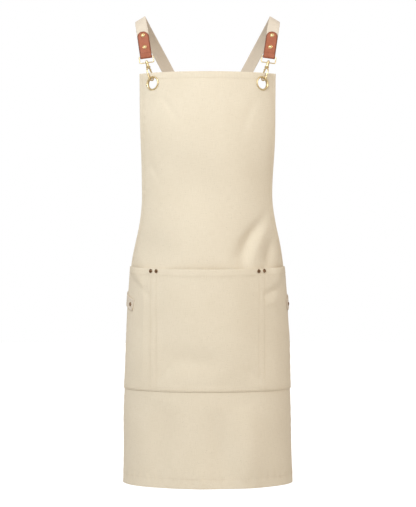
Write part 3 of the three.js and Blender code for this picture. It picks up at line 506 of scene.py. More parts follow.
def weave_group():
    """A node group for woven cloth on its UV map in metres: the height of its yarns and how dark each is."""
    name = "Woven yarns"
    if name in bpy.data.node_groups:
        return bpy.data.node_groups[name]
    tree = bpy.data.node_groups.new(name, "ShaderNodeTree")
    interface = tree.interface
    for label, default in (("Across pitch", 0.0006), ("Along pitch", 0.0006), ("Slub", 0.5)):
        socket = interface.new_socket(label, in_out="INPUT", socket_type="NodeSocketFloat")
        socket.default_value = default
    interface.new_socket("Height", in_out="OUTPUT", socket_type="NodeSocketFloat")
    interface.new_socket("Shade", in_out="OUTPUT", socket_type="NodeSocketFloat")
    source = tree.nodes.new("NodeGroupInput")
    result = tree.nodes.new("NodeGroupOutput")
    uv = tree.nodes.new("ShaderNodeUVMap")
    uv.uv_map = "cloth"
    parts = tree.nodes.new("ShaderNodeSeparateXYZ")
    tree.links.new(uv.outputs[0], parts.inputs[0])
    waves = []
    for axis, pitch in (("X", "Across pitch"), ("Y", "Along pitch")):
        turns = math_node(tree, "DIVIDE", parts.outputs[axis], source.outputs[pitch])
        waves.append(math_node(tree, "SINE", math_node(tree, "MULTIPLY", turns, 2 * math.pi)))
    over = math_node(tree, "MULTIPLY", waves[0], waves[1])
    streaks = []
    for stretch in ((1400, 55, 1), (55, 1400, 1)):
        mapping = node(tree.nodes, "ShaderNodeMapping", {"Scale": stretch})
        tree.links.new(uv.outputs[0], mapping.inputs["Vector"])
        noise = node(tree.nodes, "ShaderNodeTexNoise", {"Scale": 1.0, "Detail": 2.0})
        tree.links.new(mapping.outputs[0], noise.inputs["Vector"])
        streaks.append(noise.outputs["Fac"])
    yarn = math_node(tree, "MULTIPLY", math_node(tree, "ADD", streaks[0], streaks[1]), 0.5)
    slub = math_node(tree, "MULTIPLY", math_node(tree, "SUBTRACT", yarn, 0.5), source.outputs["Slub"])
    crossings = math_node(tree, "MULTIPLY", over, 0.35)
    height = math_node(tree, "ADD", crossings, math_node(tree, "MULTIPLY", slub, 4))
    tree.links.new(math_node(tree, "ADD", height, 0.5), result.inputs["Height"])
    tree.links.new(math_node(tree, "ADD", math_node(tree, "MULTIPLY", slub, 3), 0.5), result.inputs["Shade"])
    return tree


def wear_group():
    """A node group for small variation on Object coordinates: a soft mottle and a fine speckle."""
    name = "Mottle and speckle"
    if name in bpy.data.node_groups:
        return bpy.data.node_groups[name]
    tree = bpy.data.node_groups.new(name, "ShaderNodeTree")
    for label, default in (("Mottle scale", 20.0), ("Speckle scale", 900.0)):
        socket = tree.interface.new_socket(label, in_out="INPUT", socket_type="NodeSocketFloat")
        socket.default_value = default
    tree.interface.new_socket("Mottle", in_out="OUTPUT", socket_type="NodeSocketFloat")
    tree.interface.new_socket("Speckle", in_out="OUTPUT", socket_type="NodeSocketFloat")
    source = tree.nodes.new("NodeGroupInput")
    result = tree.nodes.new("NodeGroupOutput")
    place = tree.nodes.new("ShaderNodeTexCoord")
    for label, detail in (("Mottle", 3.0), ("Speckle", 1.0)):
        noise = node(tree.nodes, "ShaderNodeTexNoise", {"Detail": detail})
        tree.links.new(place.outputs["Object"], noise.inputs["Vector"])
        tree.links.new(source.outputs[f"{label} scale"], noise.inputs["Scale"])
        tree.links.new(noise.outputs["Fac"], result.inputs[label])
    return tree


def ramp(nodes, low, high, low_value=0.0, high_value=1.0):
    made = nodes.new("ShaderNodeMapRange")
    made.interpolation_type = "SMOOTHSTEP"
    made.inputs["From Min"].default_value = low
    made.inputs["From Max"].default_value = high
    made.inputs["To Min"].default_value = low_value
    made.inputs["To Max"].default_value = high_value
    return made


def mix_colour(nodes, links, factor, first, second, blend="MIX"):
    made = nodes.new("ShaderNodeMix")
    made.data_type = "RGBA"
    made.blend_type = blend
    links.new(factor, made.inputs["Factor"])
    for socket, value in ((made.inputs[6], first), (made.inputs[7], second)):
        if isinstance(value, bpy.types.NodeSocket):
            links.new(value, socket)
        else:
            socket.default_value = (*value, 1)
    return made.outputs[2]


def woven_material(name, base, shade, across, along, slub, bump):
    material, nodes, links = new_material(name)
    shader = nodes["Principled BSDF"]
    shader.inputs["Roughness"].default_value = 0.92
    shader.inputs["Specular IOR Level"].default_value = 0.2
    shader.inputs["Sheen Weight"].default_value = 0.12
    shader.inputs["Sheen Roughness"].default_value = 0.5
    yarns = node(nodes, "ShaderNodeGroup", node_tree=weave_group())
    yarns.inputs["Across pitch"].default_value = across
    yarns.inputs["Along pitch"].default_value = along
    yarns.inputs["Slub"].default_value = slub
    wear = node(nodes, "ShaderNodeGroup", node_tree=wear_group())
    wear.inputs["Mottle scale"].default_value = 14.0
    wear.inputs["Speckle scale"].default_value = 700.0
    yarn_shade = ramp(nodes, 0.3, 0.75)
    links.new(yarns.outputs["Shade"], yarn_shade.inputs["Value"])
    soft = math_node(material.node_tree, "MULTIPLY", yarn_shade.outputs[0], 0.4)
    coloured = mix_colour(nodes, links, soft, base, shade)
    flecks = ramp(nodes, 0.68, 0.76, 0.0, 0.5)
    links.new(wear.outputs["Speckle"], flecks.inputs["Value"])
    flecked = mix_colour(nodes, links, flecks.outputs[0], coloured, tuple(0.62 * c for c in shade))
    mottle = ramp(nodes, 0.35, 0.7, 0.0, 0.16)
    links.new(wear.outputs["Mottle"], mottle.inputs["Value"])
    links.new(mix_colour(nodes, links, mottle.outputs[0], flecked, shade), shader.inputs["Base Color"])
    relief = node(nodes, "ShaderNodeBump", {"Strength": bump, "Distance": 0.0004})
    links.new(yarns.outputs["Height"], relief.inputs["Height"])
    links.new(relief.outputs[0], shader.inputs["Normal"])
    return material


def leather_material(finishes):
    material, nodes, links = new_material("Tan leather")
    shader = nodes["Principled BSDF"]
    shader.inputs["Specular IOR Level"].default_value = 0.4
    wear = node(nodes, "ShaderNodeGroup", node_tree=wear_group())
    wear.inputs["Mottle scale"].default_value = 90.0
    wear.inputs["Speckle scale"].default_value = 1300.0
    edge = node(nodes, "ShaderNodeAttribute", attribute_name="edge")
    mottle = ramp(nodes, 0.3, 0.75, 0.0, 0.45)
    links.new(wear.outputs["Mottle"], mottle.inputs["Value"])
    finish = tuple(finishes.leather)
    pale = tuple(min(1.0, 1.45 * c) for c in finish)
    body = mix_colour(nodes, links, mottle.outputs[0], pale, finish)
    edge_share = ramp(nodes, 0.2, 0.95, 0.0, 0.9)
    links.new(edge.outputs["Fac"], edge_share.inputs["Value"])
    links.new(
        mix_colour(nodes, links, edge_share.outputs[0], body, tuple(finishes.leather_edge)),
        shader.inputs["Base Color"],
    )
    rough = ramp(nodes, 0.3, 0.7, 0.42, 0.62)
    links.new(wear.outputs["Mottle"], rough.inputs["Value"])
    links.new(rough.outputs[0], shader.inputs["Roughness"])
    grain = node(nodes, "ShaderNodeBump", {"Strength": 0.35, "Distance": 0.0003})
    links.new(wear.outputs["Speckle"], grain.inputs["Height"])
    links.new(grain.outputs[0], shader.inputs["Normal"])
    return material


def metal_material(name, base, dark, low_rough, high_rough, tarnish):
    material, nodes, links = new_material(name)
    shader = nodes["Principled BSDF"]
    shader.inputs["Metallic"].default_value = 1.0
    wear = node(nodes, "ShaderNodeGroup", node_tree=wear_group())
    wear.inputs["Mottle scale"].default_value = 260.0
    wear.inputs["Speckle scale"].default_value = 2600.0
    share = ramp(nodes, 0.35, 0.75, 0.0, tarnish)
    links.new(wear.outputs["Mottle"], share.inputs["Value"])
    links.new(mix_colour(nodes, links, share.outputs[0], base, dark), shader.inputs["Base Color"])
    rough = ramp(nodes, 0.3, 0.7, low_rough, high_rough)
    links.new(wear.outputs["Mottle"], rough.inputs["Value"])
    links.new(rough.outputs[0], shader.inputs["Roughness"])
    scratch = node(nodes, "ShaderNodeBump", {"Strength": 0.08, "Distance": 0.0001})
    links.new(wear.outputs["Speckle"], scratch.inputs["Height"])
    links.new(scratch.outputs[0], shader.inputs["Normal"])
    return material


def finish_material(kind):
    """The material of that finish, made once."""
    if kind in bpy.data.materials:
        return bpy.data.materials[kind]
    finishes = bpy.context.scene.apron_finishes
    if kind == "Canvas":
        shade = tuple(finishes.canvas_shade)
        return woven_material(kind, tuple(finishes.canvas), shade, 0.0009, 0.0009, 0.6, 0.5)
    if kind == "Webbing":
        shade = tuple(0.8 * c for c in finishes.webbing)
        return woven_material(kind, tuple(finishes.webbing), shade, 0.0016, 0.0011, 0.5, 0.7)
    if kind == "Thread":
        shade = tuple(0.8 * c for c in finishes.thread)
        return woven_material(kind, tuple(finishes.thread), shade, 0.0003, 0.0003, 0.4, 0.3)
    if kind == "Leather thread":
        shade = tuple(0.7 * c for c in finishes.leather_edge)
        return woven_material(kind, tuple(finishes.leather_edge), shade, 0.0003, 0.0003, 0.4, 0.3)
    if kind == "Tan leather":
        return leather_material(finishes)
    if kind == "Brass":
        dark = tuple(0.45 * c for c in finishes.brass)
        return metal_material(kind, tuple(finishes.brass), dark, 0.26, 0.44, 0.4)
    if kind == "Antique brass":
        bright = tuple(min(1.0, 2.2 * c) for c in finishes.antique)
        return metal_material(kind, tuple(finishes.antique), bright, 0.2, 0.42, 0.35)
    raise ValueError(f"there is no finish named {kind}")


def dress(piece, kind, body="apron"):
    """Gives a piece its finish and the body that it moves with."""
    piece.data.materials.clear()
    piece.data.materials.append(finish_material(kind))
    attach(piece, body)


# The sheets


class APRON_OT_panel(bpy.types.Operator):
    """Makes the bib and skirt, one sheet of canvas with turned hems"""

    bl_idname = "apron.panel"
    bl_label = "Canvas panel"

    STEP = 0.0034
    GROOVE_DEPTH = 0.0003

    def execute(self, context):
        cloth = HangingCloth(context.scene)
        canvas = cloth.canvas
        rows = round(canvas.long / self.STEP)
        columns = round(canvas.full_width / self.STEP)
        drop = np.repeat(np.linspace(0, canvas.long, rows + 1)[:, None], columns + 1, axis=1)
        run = cloth.half_run(drop) * np.linspace(-1, 1, columns + 1)[None, :]
        edge = cloth.half_run(drop) - np.abs(run)
        hem = np.zeros(run.shape)
        groove = np.zeros(run.shape)
        for inward, high in (
            (edge, canvas.side_hem),
            (drop, canvas.top_hem),
            (canvas.long - drop, canvas.bottom_hem),
        ):
            hem = np.maximum(hem, cloth.hem(inward, high))
            groove = np.maximum(groove, cloth.groove(inward, high))
        folds = cloth.mouth_folds(run, drop)
        outer = cloth.place(run, drop, folds - self.GROOVE_DEPTH * groove)
        inner = cloth.place(run, drop, folds - canvas.thick - canvas.hem_extra * hem)
        panel = closed_sheet("canvas_panel", outer, inner, run, drop)
        apply_modifier(panel, "BEVEL", width=CLOTH_EDGE, segments=2, angle_limit=math.radians(60))
        self.cut_eyelet_holes(panel, cloth)
        dress(panel, "Canvas")
        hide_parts("apron_panel")
        return {"FINISHED"}

    def cut_eyelet_holes(self, panel, cloth):
        for side in SIDES.values():
            fittings = cloth.fittings
            place = cloth.frame_at(side * fittings.eyelet_run, fittings.eyelet_drop, 0.0)
            deselect_all()
            bpy.ops.mesh.primitive_cylinder_add(
                vertices=64, radius=fittings.eyelet_tube + fittings.gap, depth=0.03
            )
            tool = bpy.context.object
            tool.data.transform(place)
            apply_modifier(panel, "BOOLEAN", operation="DIFFERENCE", solver="EXACT", object=tool)
            bpy.data.objects.remove(tool)


class APRON_OT_pocket(bpy.types.Operator):
    """Makes the pocket panel, sewn down into three compartments that gape a little"""

    bl_idname = "apron.pocket"
    bl_label = "Pocket panel"

    STEP = 0.0033
    GROOVE_DEPTH = 0.0004
    THIN_EDGE = 0.6
    THIN_HIGH = 0.006

    def execute(self, context):
        cloth = HangingCloth(context.scene)
        pocket = cloth.pocket
        rows = round(pocket.high / self.STEP)
        columns = round(cloth.canvas.full_width / self.STEP)
        share = np.linspace(-1, 1, columns + 1)[None, :]
        drops = np.linspace(pocket.top, cloth.pocket_bottom, rows + 1)
        drop = np.repeat(drops[:, None], columns + 1, axis=1)
        fade = np.clip((cloth.pocket_bottom - drop) / pocket.high, 0, 1)
        drop = drop - pocket.rise * share * share * fade
        run = cloth.half_run(drop) * share
        lift = cloth.pocket_lift(run, drop)
        below = drop - cloth.pocket_edge(run)
        hem = 1 - smooth_step(below, pocket.hem - 0.002, pocket.hem + 0.006)
        groove = 0.5 * cloth.groove(below, pocket.hem)
        for stitch in (-0.5, 0.5):
            seam = np.abs(run) - pocket.seam_run - stitch * pocket.seam_width
            groove = np.maximum(groove, ridge(seam, cloth.GROOVE_WIDE))
        whole = smooth_step(cloth.pocket_bottom - drop, 0, self.THIN_HIGH)
        thick = cloth.canvas.thick * (self.THIN_EDGE + (1 - self.THIN_EDGE) * whole)
        thick = thick + pocket.hem_extra * hem
        outer = cloth.place(run, drop, lift + thick - self.GROOVE_DEPTH * groove)
        inner = cloth.place(run, drop, lift)
        panel = closed_sheet("canvas_pocket", outer, inner, run, drop)
        apply_modifier(panel, "BEVEL", width=CLOTH_EDGE, segments=2, angle_limit=math.radians(60))
        dress(panel, "Canvas")
        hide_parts("pocket_panel")
        return {"FINISHED"}


# The straps

TAIL_SPACE = 0.006
PAST_EDGE = 0.008
END_ROWS = 6


def direction_of(heading, lift, side):
    flat = math.cos(math.radians(lift))
    turn = math.radians(heading)
    return Vector((side * math.sin(turn) * flat, -math.cos(turn) * flat, math.sin(math.radians(lift))))


def tab_frame(scene, side):
    """The frame of a leather tab: its origin in the webbing at the tab's top, Y up along the strap and Z
    out of its face."""
    leather = scene.apron_leather
    top = Vector((side * leather.top_across, -leather.top_front, -leather.top_down))
    down = math.sqrt(leather.long**2 - leather.lean_inward**2 - leather.lean_forward**2)
    along = Vector((side * leather.lean_inward, leather.lean_forward, down)).normalized()
    across = (Vector((1, 0, 0)) - along * along.x).normalized()
    turn = Matrix((across, along, across.cross(along))).transposed().to_4x4()
    return Matrix.Translation(top) @ turn


def catmull_rom(points, at):
    """A place on the centripetal spline through the points, at a row number and its fraction."""
    i = min(int(at), len(points) - 2)
    t = at - i
    before = points[i - 1] if i > 0 else 2 * points[0] - points[1]
    after = points[i + 2] if i + 2 < len(points) else 2 * points[-1] - points[-2]
    p1, p2 = points[i], points[i + 1]
    d0, d1, d2 = ((b - a).length ** 0.5 for a, b in ((before, p1), (p1, p2), (p2, after)))
    leave = ((p1 - before) / d0 - (p2 - before) / (d0 + d1) + (p2 - p1) / d1) * d1
    reach = ((p2 - p1) / d1 - (after - p1) / (d1 + d2) + (after - p2) / d2) * d1
    return (
        p1
        + leave * t
        + (-3 * p1 + 3 * p2 - 2 * leave - reach) * t**2
        + (2 * p1 - 2 * p2 + leave + reach) * t**3
    )


def strap_stations(cloth, side, steps):
    """The middle of the webbing, the way across it and the way its outer face looks, all along a strap."""
    scene = bpy.context.scene
    straps = cloth.straps
    leather = scene.apron_leather
    tab = tab_frame(scene, side)
    tab_up = tab.col[1].to_3d()
    tab_out = tab.col[2].to_3d()
    webbing_end = leather.long - 2 * leather.thick - cloth.fittings.loop_bar - TAIL_SPACE
    points = [tab.translation - tab_up * webbing_end, tab.translation.copy()]
    faces = [tab_out, tab_out]
    for name, (across, depth, drop, heading, lift) in ROUTE.items():
        bump = straps.crossing_bump if name == "crossing" and side > 0 else 0.0
        points.append(
            Vector(
                (
                    side * across * straps.shoulder_half,
                    depth * straps.back_depth + bump,
                    straps.thick / 2 - drop * straps.drop,
                )
            )
        )
        faces.append(direction_of(heading, lift, side))
    end_run = straps.end_run_left if side > 0 else straps.end_run_right
    climb = math.tan(straps.end_slope)
    whole = cloth.half_full + PAST_EDGE - end_run
    for i in range(END_ROWS + 1):
        back = whole * (1 - i / END_ROWS)
        drop = straps.drop - cloth.canvas.bib_drop - (back - straps.rivet_inset) * climb
        seat = cloth.frame_at(-side * (end_run + back), drop, cloth.strap_lift)
        points.append(seat.translation)
        faces.append(seat.col[2].to_3d())
    crest = 2 + list(ROUTE).index("crest front")
    stations = []
    for i in range(len(points) - 1):
        count = 2 if i in (0, crest) else steps
        for k in range(count):
            t = k / count
            straight = i in (0, crest)
            middle = points[i].lerp(points[i + 1], t) if straight else catmull_rom(points, i + t)
            stations.append((middle, faces[i].lerp(faces[i + 1], t).normalized()))
    stations.append((points[-1], faces[-1]))
    middles = [middle for middle, _ in stations]
    rows = []
    for i, (middle, face) in enumerate(stations):
        travel = (middles[min(i + 1, len(middles) - 1)] - middles[max(i - 1, 0)]).normalized()
        across = face.cross(travel).normalized()
        rows.append((middle, across, travel.cross(across)))
    return rows


def band_ring(width, thickness, flats=8, rounds=4):
    """The cross section of a band with round edges, as (across, out) pairs, anticlockwise."""
    radius = thickness / 2
    half = width / 2 - radius
    ring = [(half - 2 * half * i / flats, radius) for i in range(flats + 1)]
    for i in range(1, rounds):
        turn = math.pi / 2 + math.pi * i / rounds
        ring.append((-half + radius * math.cos(turn), radius * math.sin(turn)))
    ring += [(-half + 2 * half * i / flats, -radius) for i in range(flats + 1)]
    for i in range(1, rounds):
        turn = -math.pi / 2 + math.pi * i / rounds
        ring.append((half + radius * math.cos(turn), radius * math.sin(turn)))
    return np.array(ring)


class APRON_OT_straps(bpy.types.Operator):
    """Makes the two webbing straps, from the leather tabs over the shoulders to the opposite sides"""

    bl_idname = "apron.straps"
    bl_label = "Webbing straps"

    STEPS = 18

    def execute(self, context):
        cloth = HangingCloth(context.scene)
        ring = band_ring(cloth.straps.wide, cloth.straps.thick)
        for label, side in SIDES.items():
            rows = strap_stations(cloth, side, self.STEPS)
            rings = []
            uvs = []
            gone = 0.0
            for i, (middle, across, out) in enumerate(rows):
                gone += (middle - rows[i - 1][0]).length if i else 0.0
                rings.append([middle + across * a + out * b for a, b in ring])
                uvs.append([(a, gone) for a, _ in ring])
            strap = loft(f"webbing_strap_{label}", np.array(rings), np.array(uvs))
            deselect_all()
            dress(strap, "Webbing")
            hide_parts(f"strap_{label}")
        return {"FINISHED"}


class APRON_OT_leather_tabs(bpy.types.Operator):
    """Makes the leather tabs, each a strip with round ends that is folded round its loop's bar"""

    bl_idname = "apron.leather_tabs"
    bl_label = "Leather tabs"

    WORN = 0.0003
    BURNISHED = 0.0034

    def execute(self, context):
        scene = context.scene
        leather = scene.apron_leather
        inner = scene.apron_straps.thick / 2 + scene.apron_fittings.gap
        middle = inner + leather.thick / 2
        fold = -leather.long + leather.thick + inner
        straight = -fold
        bend = math.pi * middle
        whole = 2 * straight + bend
        half = leather.wide / 2
        tips = half * (1 - np.cos(np.linspace(0.06, math.pi / 2, 12)))
        body = np.linspace(half, whole - half, 64)[1:-1]
        stations = np.concatenate([tips, body, whole - tips[::-1]])
        for label, side in SIDES.items():
            place = tab_frame(scene, side)
            rings = []
            uvs = []
            edges = []
            for s in stations:
                tip = min(s, whole - s, half)
                width = 2 * math.sqrt(half**2 - (half - tip) ** 2)
                if s < straight:
                    centre = Vector((0, -s, middle))
                    out = Vector((0, 0, 1))
                elif s > straight + bend:
                    up = s - straight - bend
                    centre = Vector((0, fold + up, -middle))
                    out = Vector((0, 0, -1))
                else:
                    turn = (s - straight) / middle
                    centre = Vector((0, fold - middle * math.sin(turn), middle * math.cos(turn)))
                    out = Vector((0, -math.sin(turn), math.cos(turn)))
                worn = self.WORN * math.sin(7 * s / whole * math.pi) if s < straight else 0.0
                points = []
                for a, b in band_ring(width, min(leather.thick, width * 0.9), flats=10):
                    crown = worn * math.cos(a / half * math.pi / 2)
                    points.append(place @ (centre + Vector((-a, 0, 0)) + out * (b + crown)))
                    rim = min(width / 2 - abs(a), min(s, whole - s))
                    uvs.append((a, s))
                    edges.append(max(0.0, 1 - rim / self.BURNISHED))
                rings.append(points)
            tab = loft(f"leather_fold_{label}", np.array(rings), np.array(uvs))
            edge = tab.data.attributes.new("edge", "FLOAT", "POINT")
            edge.data.foreach_set("value", np.array(edges, np.float32))
            dress(tab, "Tan leather")
            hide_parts(f"leather_tab_{label}")
        return {"FINISHED"}


# Metal fittings


def arc(across, up, radius, start, end, steps):
    """Points of an arc in a profile, from one angle to another in degrees."""
    turns = [math.radians(start + (end - start) * i / steps) for i in range(steps + 1)]
    return [(across + radius * math.cos(turn), up + radius * math.sin(turn)) for turn in turns]


def start_circle(name, radius, sides, filled, place=(0, 0, 0), turn=(0, 0, 0)):
    """A circle at its place, open in edit mode with all of it selected."""
    deselect_all()
    bpy.ops.mesh.primitive_circle_add(
        vertices=sides,
        radius=radius,
        fill_type="NGON" if filled else "NOTHING",
        location=place,
        rotation=turn,
    )
    piece = bpy.context.object
    piece.name = name
    bpy.ops.object.transform_apply(location=True, rotation=True, scale=True)
    bpy.ops.object.mode_set(mode="EDIT")
    bpy.ops.mesh.select_all(action="SELECT")
    return piece


def close_shape():
    """Merges the doubles, turns the faces outwards and leaves edit mode."""
    bpy.ops.mesh.select_all(action="SELECT")
    bpy.ops.mesh.remove_doubles(threshold=1e-6)
    bpy.ops.mesh.normals_make_consistent(inside=False)
    bpy.ops.object.mode_set(mode="OBJECT")


def raised(name, profile, sides=40, closed=False):
    """A round piece, raised from a circle ring by ring along its profile of (radius, height) pairs."""
    radius, height = profile[0]
    piece = start_circle(name, radius, sides, not closed, (0, 0, height))
    for wide, up in profile[1:] + profile[:1] if closed else profile[1:]:
        bpy.ops.mesh.extrude_region_move(TRANSFORM_OT_translate={"value": (0, 0, up - height)})
        bpy.ops.transform.resize(value=(wide / radius, wide / radius, 1), center_override=(0, 0, up))
        radius, height = wide, up
    close_shape()
    return piece


def ahead(way, scale=1.0):
    """Extrudes the selected ring of a wire, which may taper on the way."""
    bpy.ops.mesh.extrude_edges_move(TRANSFORM_OT_translate={"value": way})
    if scale != 1.0:
        bpy.ops.transform.resize(value=(scale, scale, scale))


def bent(centre, axis, degrees, steps):
    """Bends the selected ring of a wire round a centre, clockwise about the axis."""
    bpy.ops.mesh.spin(steps=steps, angle=math.radians(degrees), center=centre, axis=axis)


def lug(name, top, end, top_radius, end_radius, thickness):
    """A flat bar across X with round ends, from a circle whose lower half is moved down."""
    turn = (0, math.pi / 2, 0)
    piece = start_circle(name, top_radius, 28, True, (-thickness / 2, *top), turn)
    bpy.ops.mesh.extrude_region_move(TRANSFORM_OT_translate={"value": (thickness, 0, 0)})
    way = Vector((0, end[0] - top[0], end[1] - top[1]))
    pick(piece, lambda spot: (spot - Vector((0, *top))).dot(way) > 1e-9)
    scale = end_radius / top_radius
    bpy.ops.transform.resize(value=(1, scale, scale), center_override=(0, *top))
    bpy.ops.transform.translate(value=way)
    return piece


def pick(piece, wanted):
    """Selects the vertices whose places are wanted, in edit mode."""
    bpy.ops.mesh.select_mode(type="VERT")
    bpy.ops.mesh.select_all(action="DESELECT")
    bpy.ops.object.mode_set(mode="OBJECT")
    for vertex in piece.data.vertices:
        vertex.select = wanted(vertex.co)
    bpy.ops.object.mode_set(mode="EDIT")


def copied(model, place):
    """A copy of a finished model, with a mesh of its own, moved to its place."""
    twin = model.copy()
    twin.data = model.data.copy()
    twin.data.transform(place)
    bpy.context.scene.collection.objects.link(twin)
    return twin


def joined(name, pieces):
    """One piece from several, with its sharp edges kept."""
    deselect_all()
    for piece in pieces:
        piece.select_set(True)
    bpy.context.view_layer.objects.active = pieces[0]
    if len(pieces) > 1:
        bpy.ops.object.join()
    made = bpy.context.object
    made.name = name
    bpy.ops.object.shade_smooth_by_angle(angle=math.radians(38))
    return made


def remove(*models):
    for model in models:
        bpy.data.objects.remove(model)


def fit(piece, kind, body, node_name):
    """Dresses a fitting, which takes the place of a node."""
    dress(piece, kind, body)
    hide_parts(node_name)


def rivet_foot(radius, shank, low):
    """The rivet's washer behind and its shank, as the start of its profile."""
    return [(radius * 0.78, low - 0.001), (radius * 0.86, low - 0.0007), (radius * 0.86, low), (shank, low)]


def dome_rivet(radius, shank, high, low, dome):
    """A smooth domed head on a flat rim."""
    rim = 0.22 * dome
    sweep = (radius * 0.86) ** 2 / (2 * dome * 0.78) + dome * 0.39
    centre = high + dome - sweep
    start = math.degrees(math.acos(radius * 0.86 / sweep))
    edge = [(shank, high), (radius, high), (radius, high + rim), (radius * 0.93, high + 1.6 * rim)]
    return raised("dome rivet", rivet_foot(radius, shank, low) + edge + arc(0, centre, sweep, start, 88, 8))


def ringed_rivet(radius, shank, high, low, dome):
    """A head with a raised ring round a small nub."""
    ring = arc(radius * 0.8, high + 0.35 * dome, radius * 0.2, -40, 200, 8)
    nub = arc(0, high + 0.25 * dome, radius * 0.46, 12, 87, 6)
    rim = [(shank, high), (radius * 0.95, high)]
    return raised("ringed rivet", rivet_foot(radius, shank, low) + rim + ring + nub)


class APRON_OT_rivets(bpy.types.Operator):
    """Makes the domed rivets on the leather and the darkened rivets on the cloth"""

    bl_idname = "apron.rivets"
    bl_label = "Rivets"

    CLOTH_SHANK = 0.0014
    CLOTH_DOME = 0.0019
    TAB_SHANK = 0.0016
    TAB_DOME = 0.0021

    def execute(self, context):
        cloth = HangingCloth(context.scene)
        self.pocket_rivets(cloth)
        self.side_rivets(cloth)
        self.tab_rivets(context.scene)
        return {"FINISHED"}

    def pocket_rivets(self, cloth):
        gap = cloth.fittings.gap
        high = cloth.pocket.seam_gap + cloth.canvas.thick + cloth.pocket.hem_extra + gap
        low = -cloth.canvas.thick - gap
        model = ringed_rivet(cloth.fittings.cloth_rivet, self.CLOTH_SHANK, high, low, self.CLOTH_DOME)
        for label, side in SIDES.items():
            for which, shift in (("outer", 0.5), ("inner", -0.5)):
                run = side * (cloth.pocket.seam_run + shift * cloth.pocket.seam_width)
                drop = float(cloth.pocket_edge(run)) + cloth.fittings.pocket_rivet_drop
                place = cloth.frame_at(run, drop, 0)
                rivet = joined(f"rivet_pocket_{label}_{which}", [copied(model, place)])
                fit(rivet, "Antique brass", "apron", f"pocket_rivet_{label}_{which}")
        remove(model)

    def side_rivets(self, cloth):
        straps = cloth.straps
        high = cloth.strap_lift + straps.thick / 2
        low = -cloth.canvas.thick - cloth.fittings.gap
        model = ringed_rivet(cloth.fittings.cloth_rivet, self.CLOTH_SHANK, high, low, self.CLOTH_DOME)
        ends = {"left": straps.end_run_left, "right": straps.end_run_right}
        for label, side in SIDES.items():
            run = side * (ends[label] + straps.rivet_inset)
            place = cloth.frame_at(run, straps.drop - cloth.canvas.bib_drop, 0)
            rivet = joined(f"rivet_side_{label}", [copied(model, place)])
            fit(rivet, "Antique brass", "apron", f"side_rivet_{label}")
        remove(model)

    def tab_rivets(self, scene):
        leather = scene.apron_leather
        fittings = scene.apron_fittings
        reach = scene.apron_straps.thick / 2 + fittings.gap + leather.thick
        model = dome_rivet(fittings.tab_rivet, self.TAB_SHANK, reach, -reach, self.TAB_DOME)
        for label, side in SIDES.items():
            for which, down in (("upper", leather.rivet_upper), ("lower", leather.rivet_lower)):
                place = tab_frame(scene, side) @ Matrix.Translation((0, -down, 0))
                rivet = joined(f"rivet_leather_{label}_{which}", [copied(model, place)])
                fit(rivet, "Brass", "apron", f"tab_rivet_{label}_{which}")
        remove(model)


class APRON_OT_eyelets(bpy.types.Operator):
    """Makes the two large brass eyelets at the bib's corners"""

    bl_idname = "apron.eyelets"
    bl_label = "Eyelets"

    def execute(self, context):
        cloth = HangingCloth(context.scene)
        model = self.eyelet(cloth)
        for label, side in SIDES.items():
            place = cloth.frame_at(side * cloth.fittings.eyelet_run, cloth.fittings.eyelet_drop, 0)
            made = joined(f"brass_eyelet_{label}", [copied(model, place)])
            fit(made, "Brass", "apron", f"eyelet_{label}")
        remove(model)
        return {"FINISHED"}

    def eyelet(self, cloth):
        """Rounded flanges in front of the canvas and behind it, on one tube."""
        fittings = cloth.fittings
        wall, bore = fittings.brass_wall, fittings.eyelet_bore
        back = -cloth.canvas.thick - cloth.canvas.hem_extra - fittings.eyelet_depth
        profile = [(fittings.eyelet_tube, back), (fittings.eyelet_tube, fittings.gap)]
        for outer, start, rise in (
            (fittings.eyelet_flange, fittings.gap, 1.25 * wall),
            (fittings.eyelet_back_flange, back, -wall),
        ):
            crown, half = (outer + bore) / 2, (outer - bore) / 2
            turns = np.linspace(0, math.pi, 11)
            rim = [(crown + half * math.cos(t), start + rise * math.sin(t)) for t in turns]
            profile += rim if rise > 0 else rim[::-1]
        return raised("eyelet", profile, 64, closed=True)


def bar_height(scene):
    """The height of the middle of the loop's upper bar in the tab's frame."""
    leather = scene.apron_leather
    fold = -leather.long + leather.thick + scene.apron_straps.thick / 2 + scene.apron_fittings.gap
    return fold + scene.apron_fittings.loop_bar / 2


def hook_place(label):
    """The frame of a snap hook on its swivel, and its gate's pivot in that frame: Z looks up the stem, X
    along the gate's pin and Y from spine to gate."""
    joints = {joint["name"]: joint for joint in frame["joints"]}
    swivel = joints[f"hook_{label}_swivel"]
    lever = joints[f"gate_{label}_lever"]
    up = Vector(swivel["axis"])
    across = -Vector(lever["axis"])
    turn = Matrix((across, up.cross(across), up)).transposed().to_4x4()
    place = Matrix.Translation(swivel["pos_m"]) @ turn
    return place, place.inverted() @ Vector(lever["pos_m"])


def hook_reach(fittings):
    """From the swivel down to the middle of the wire at the foot of the bend, as in the frame."""
    back = hook_place("left")[0].inverted()
    lowest = min((back @ vertex.co).z for vertex in frame["nodes"]["hook_left"].data.vertices)
    return -lowest - fittings.wire


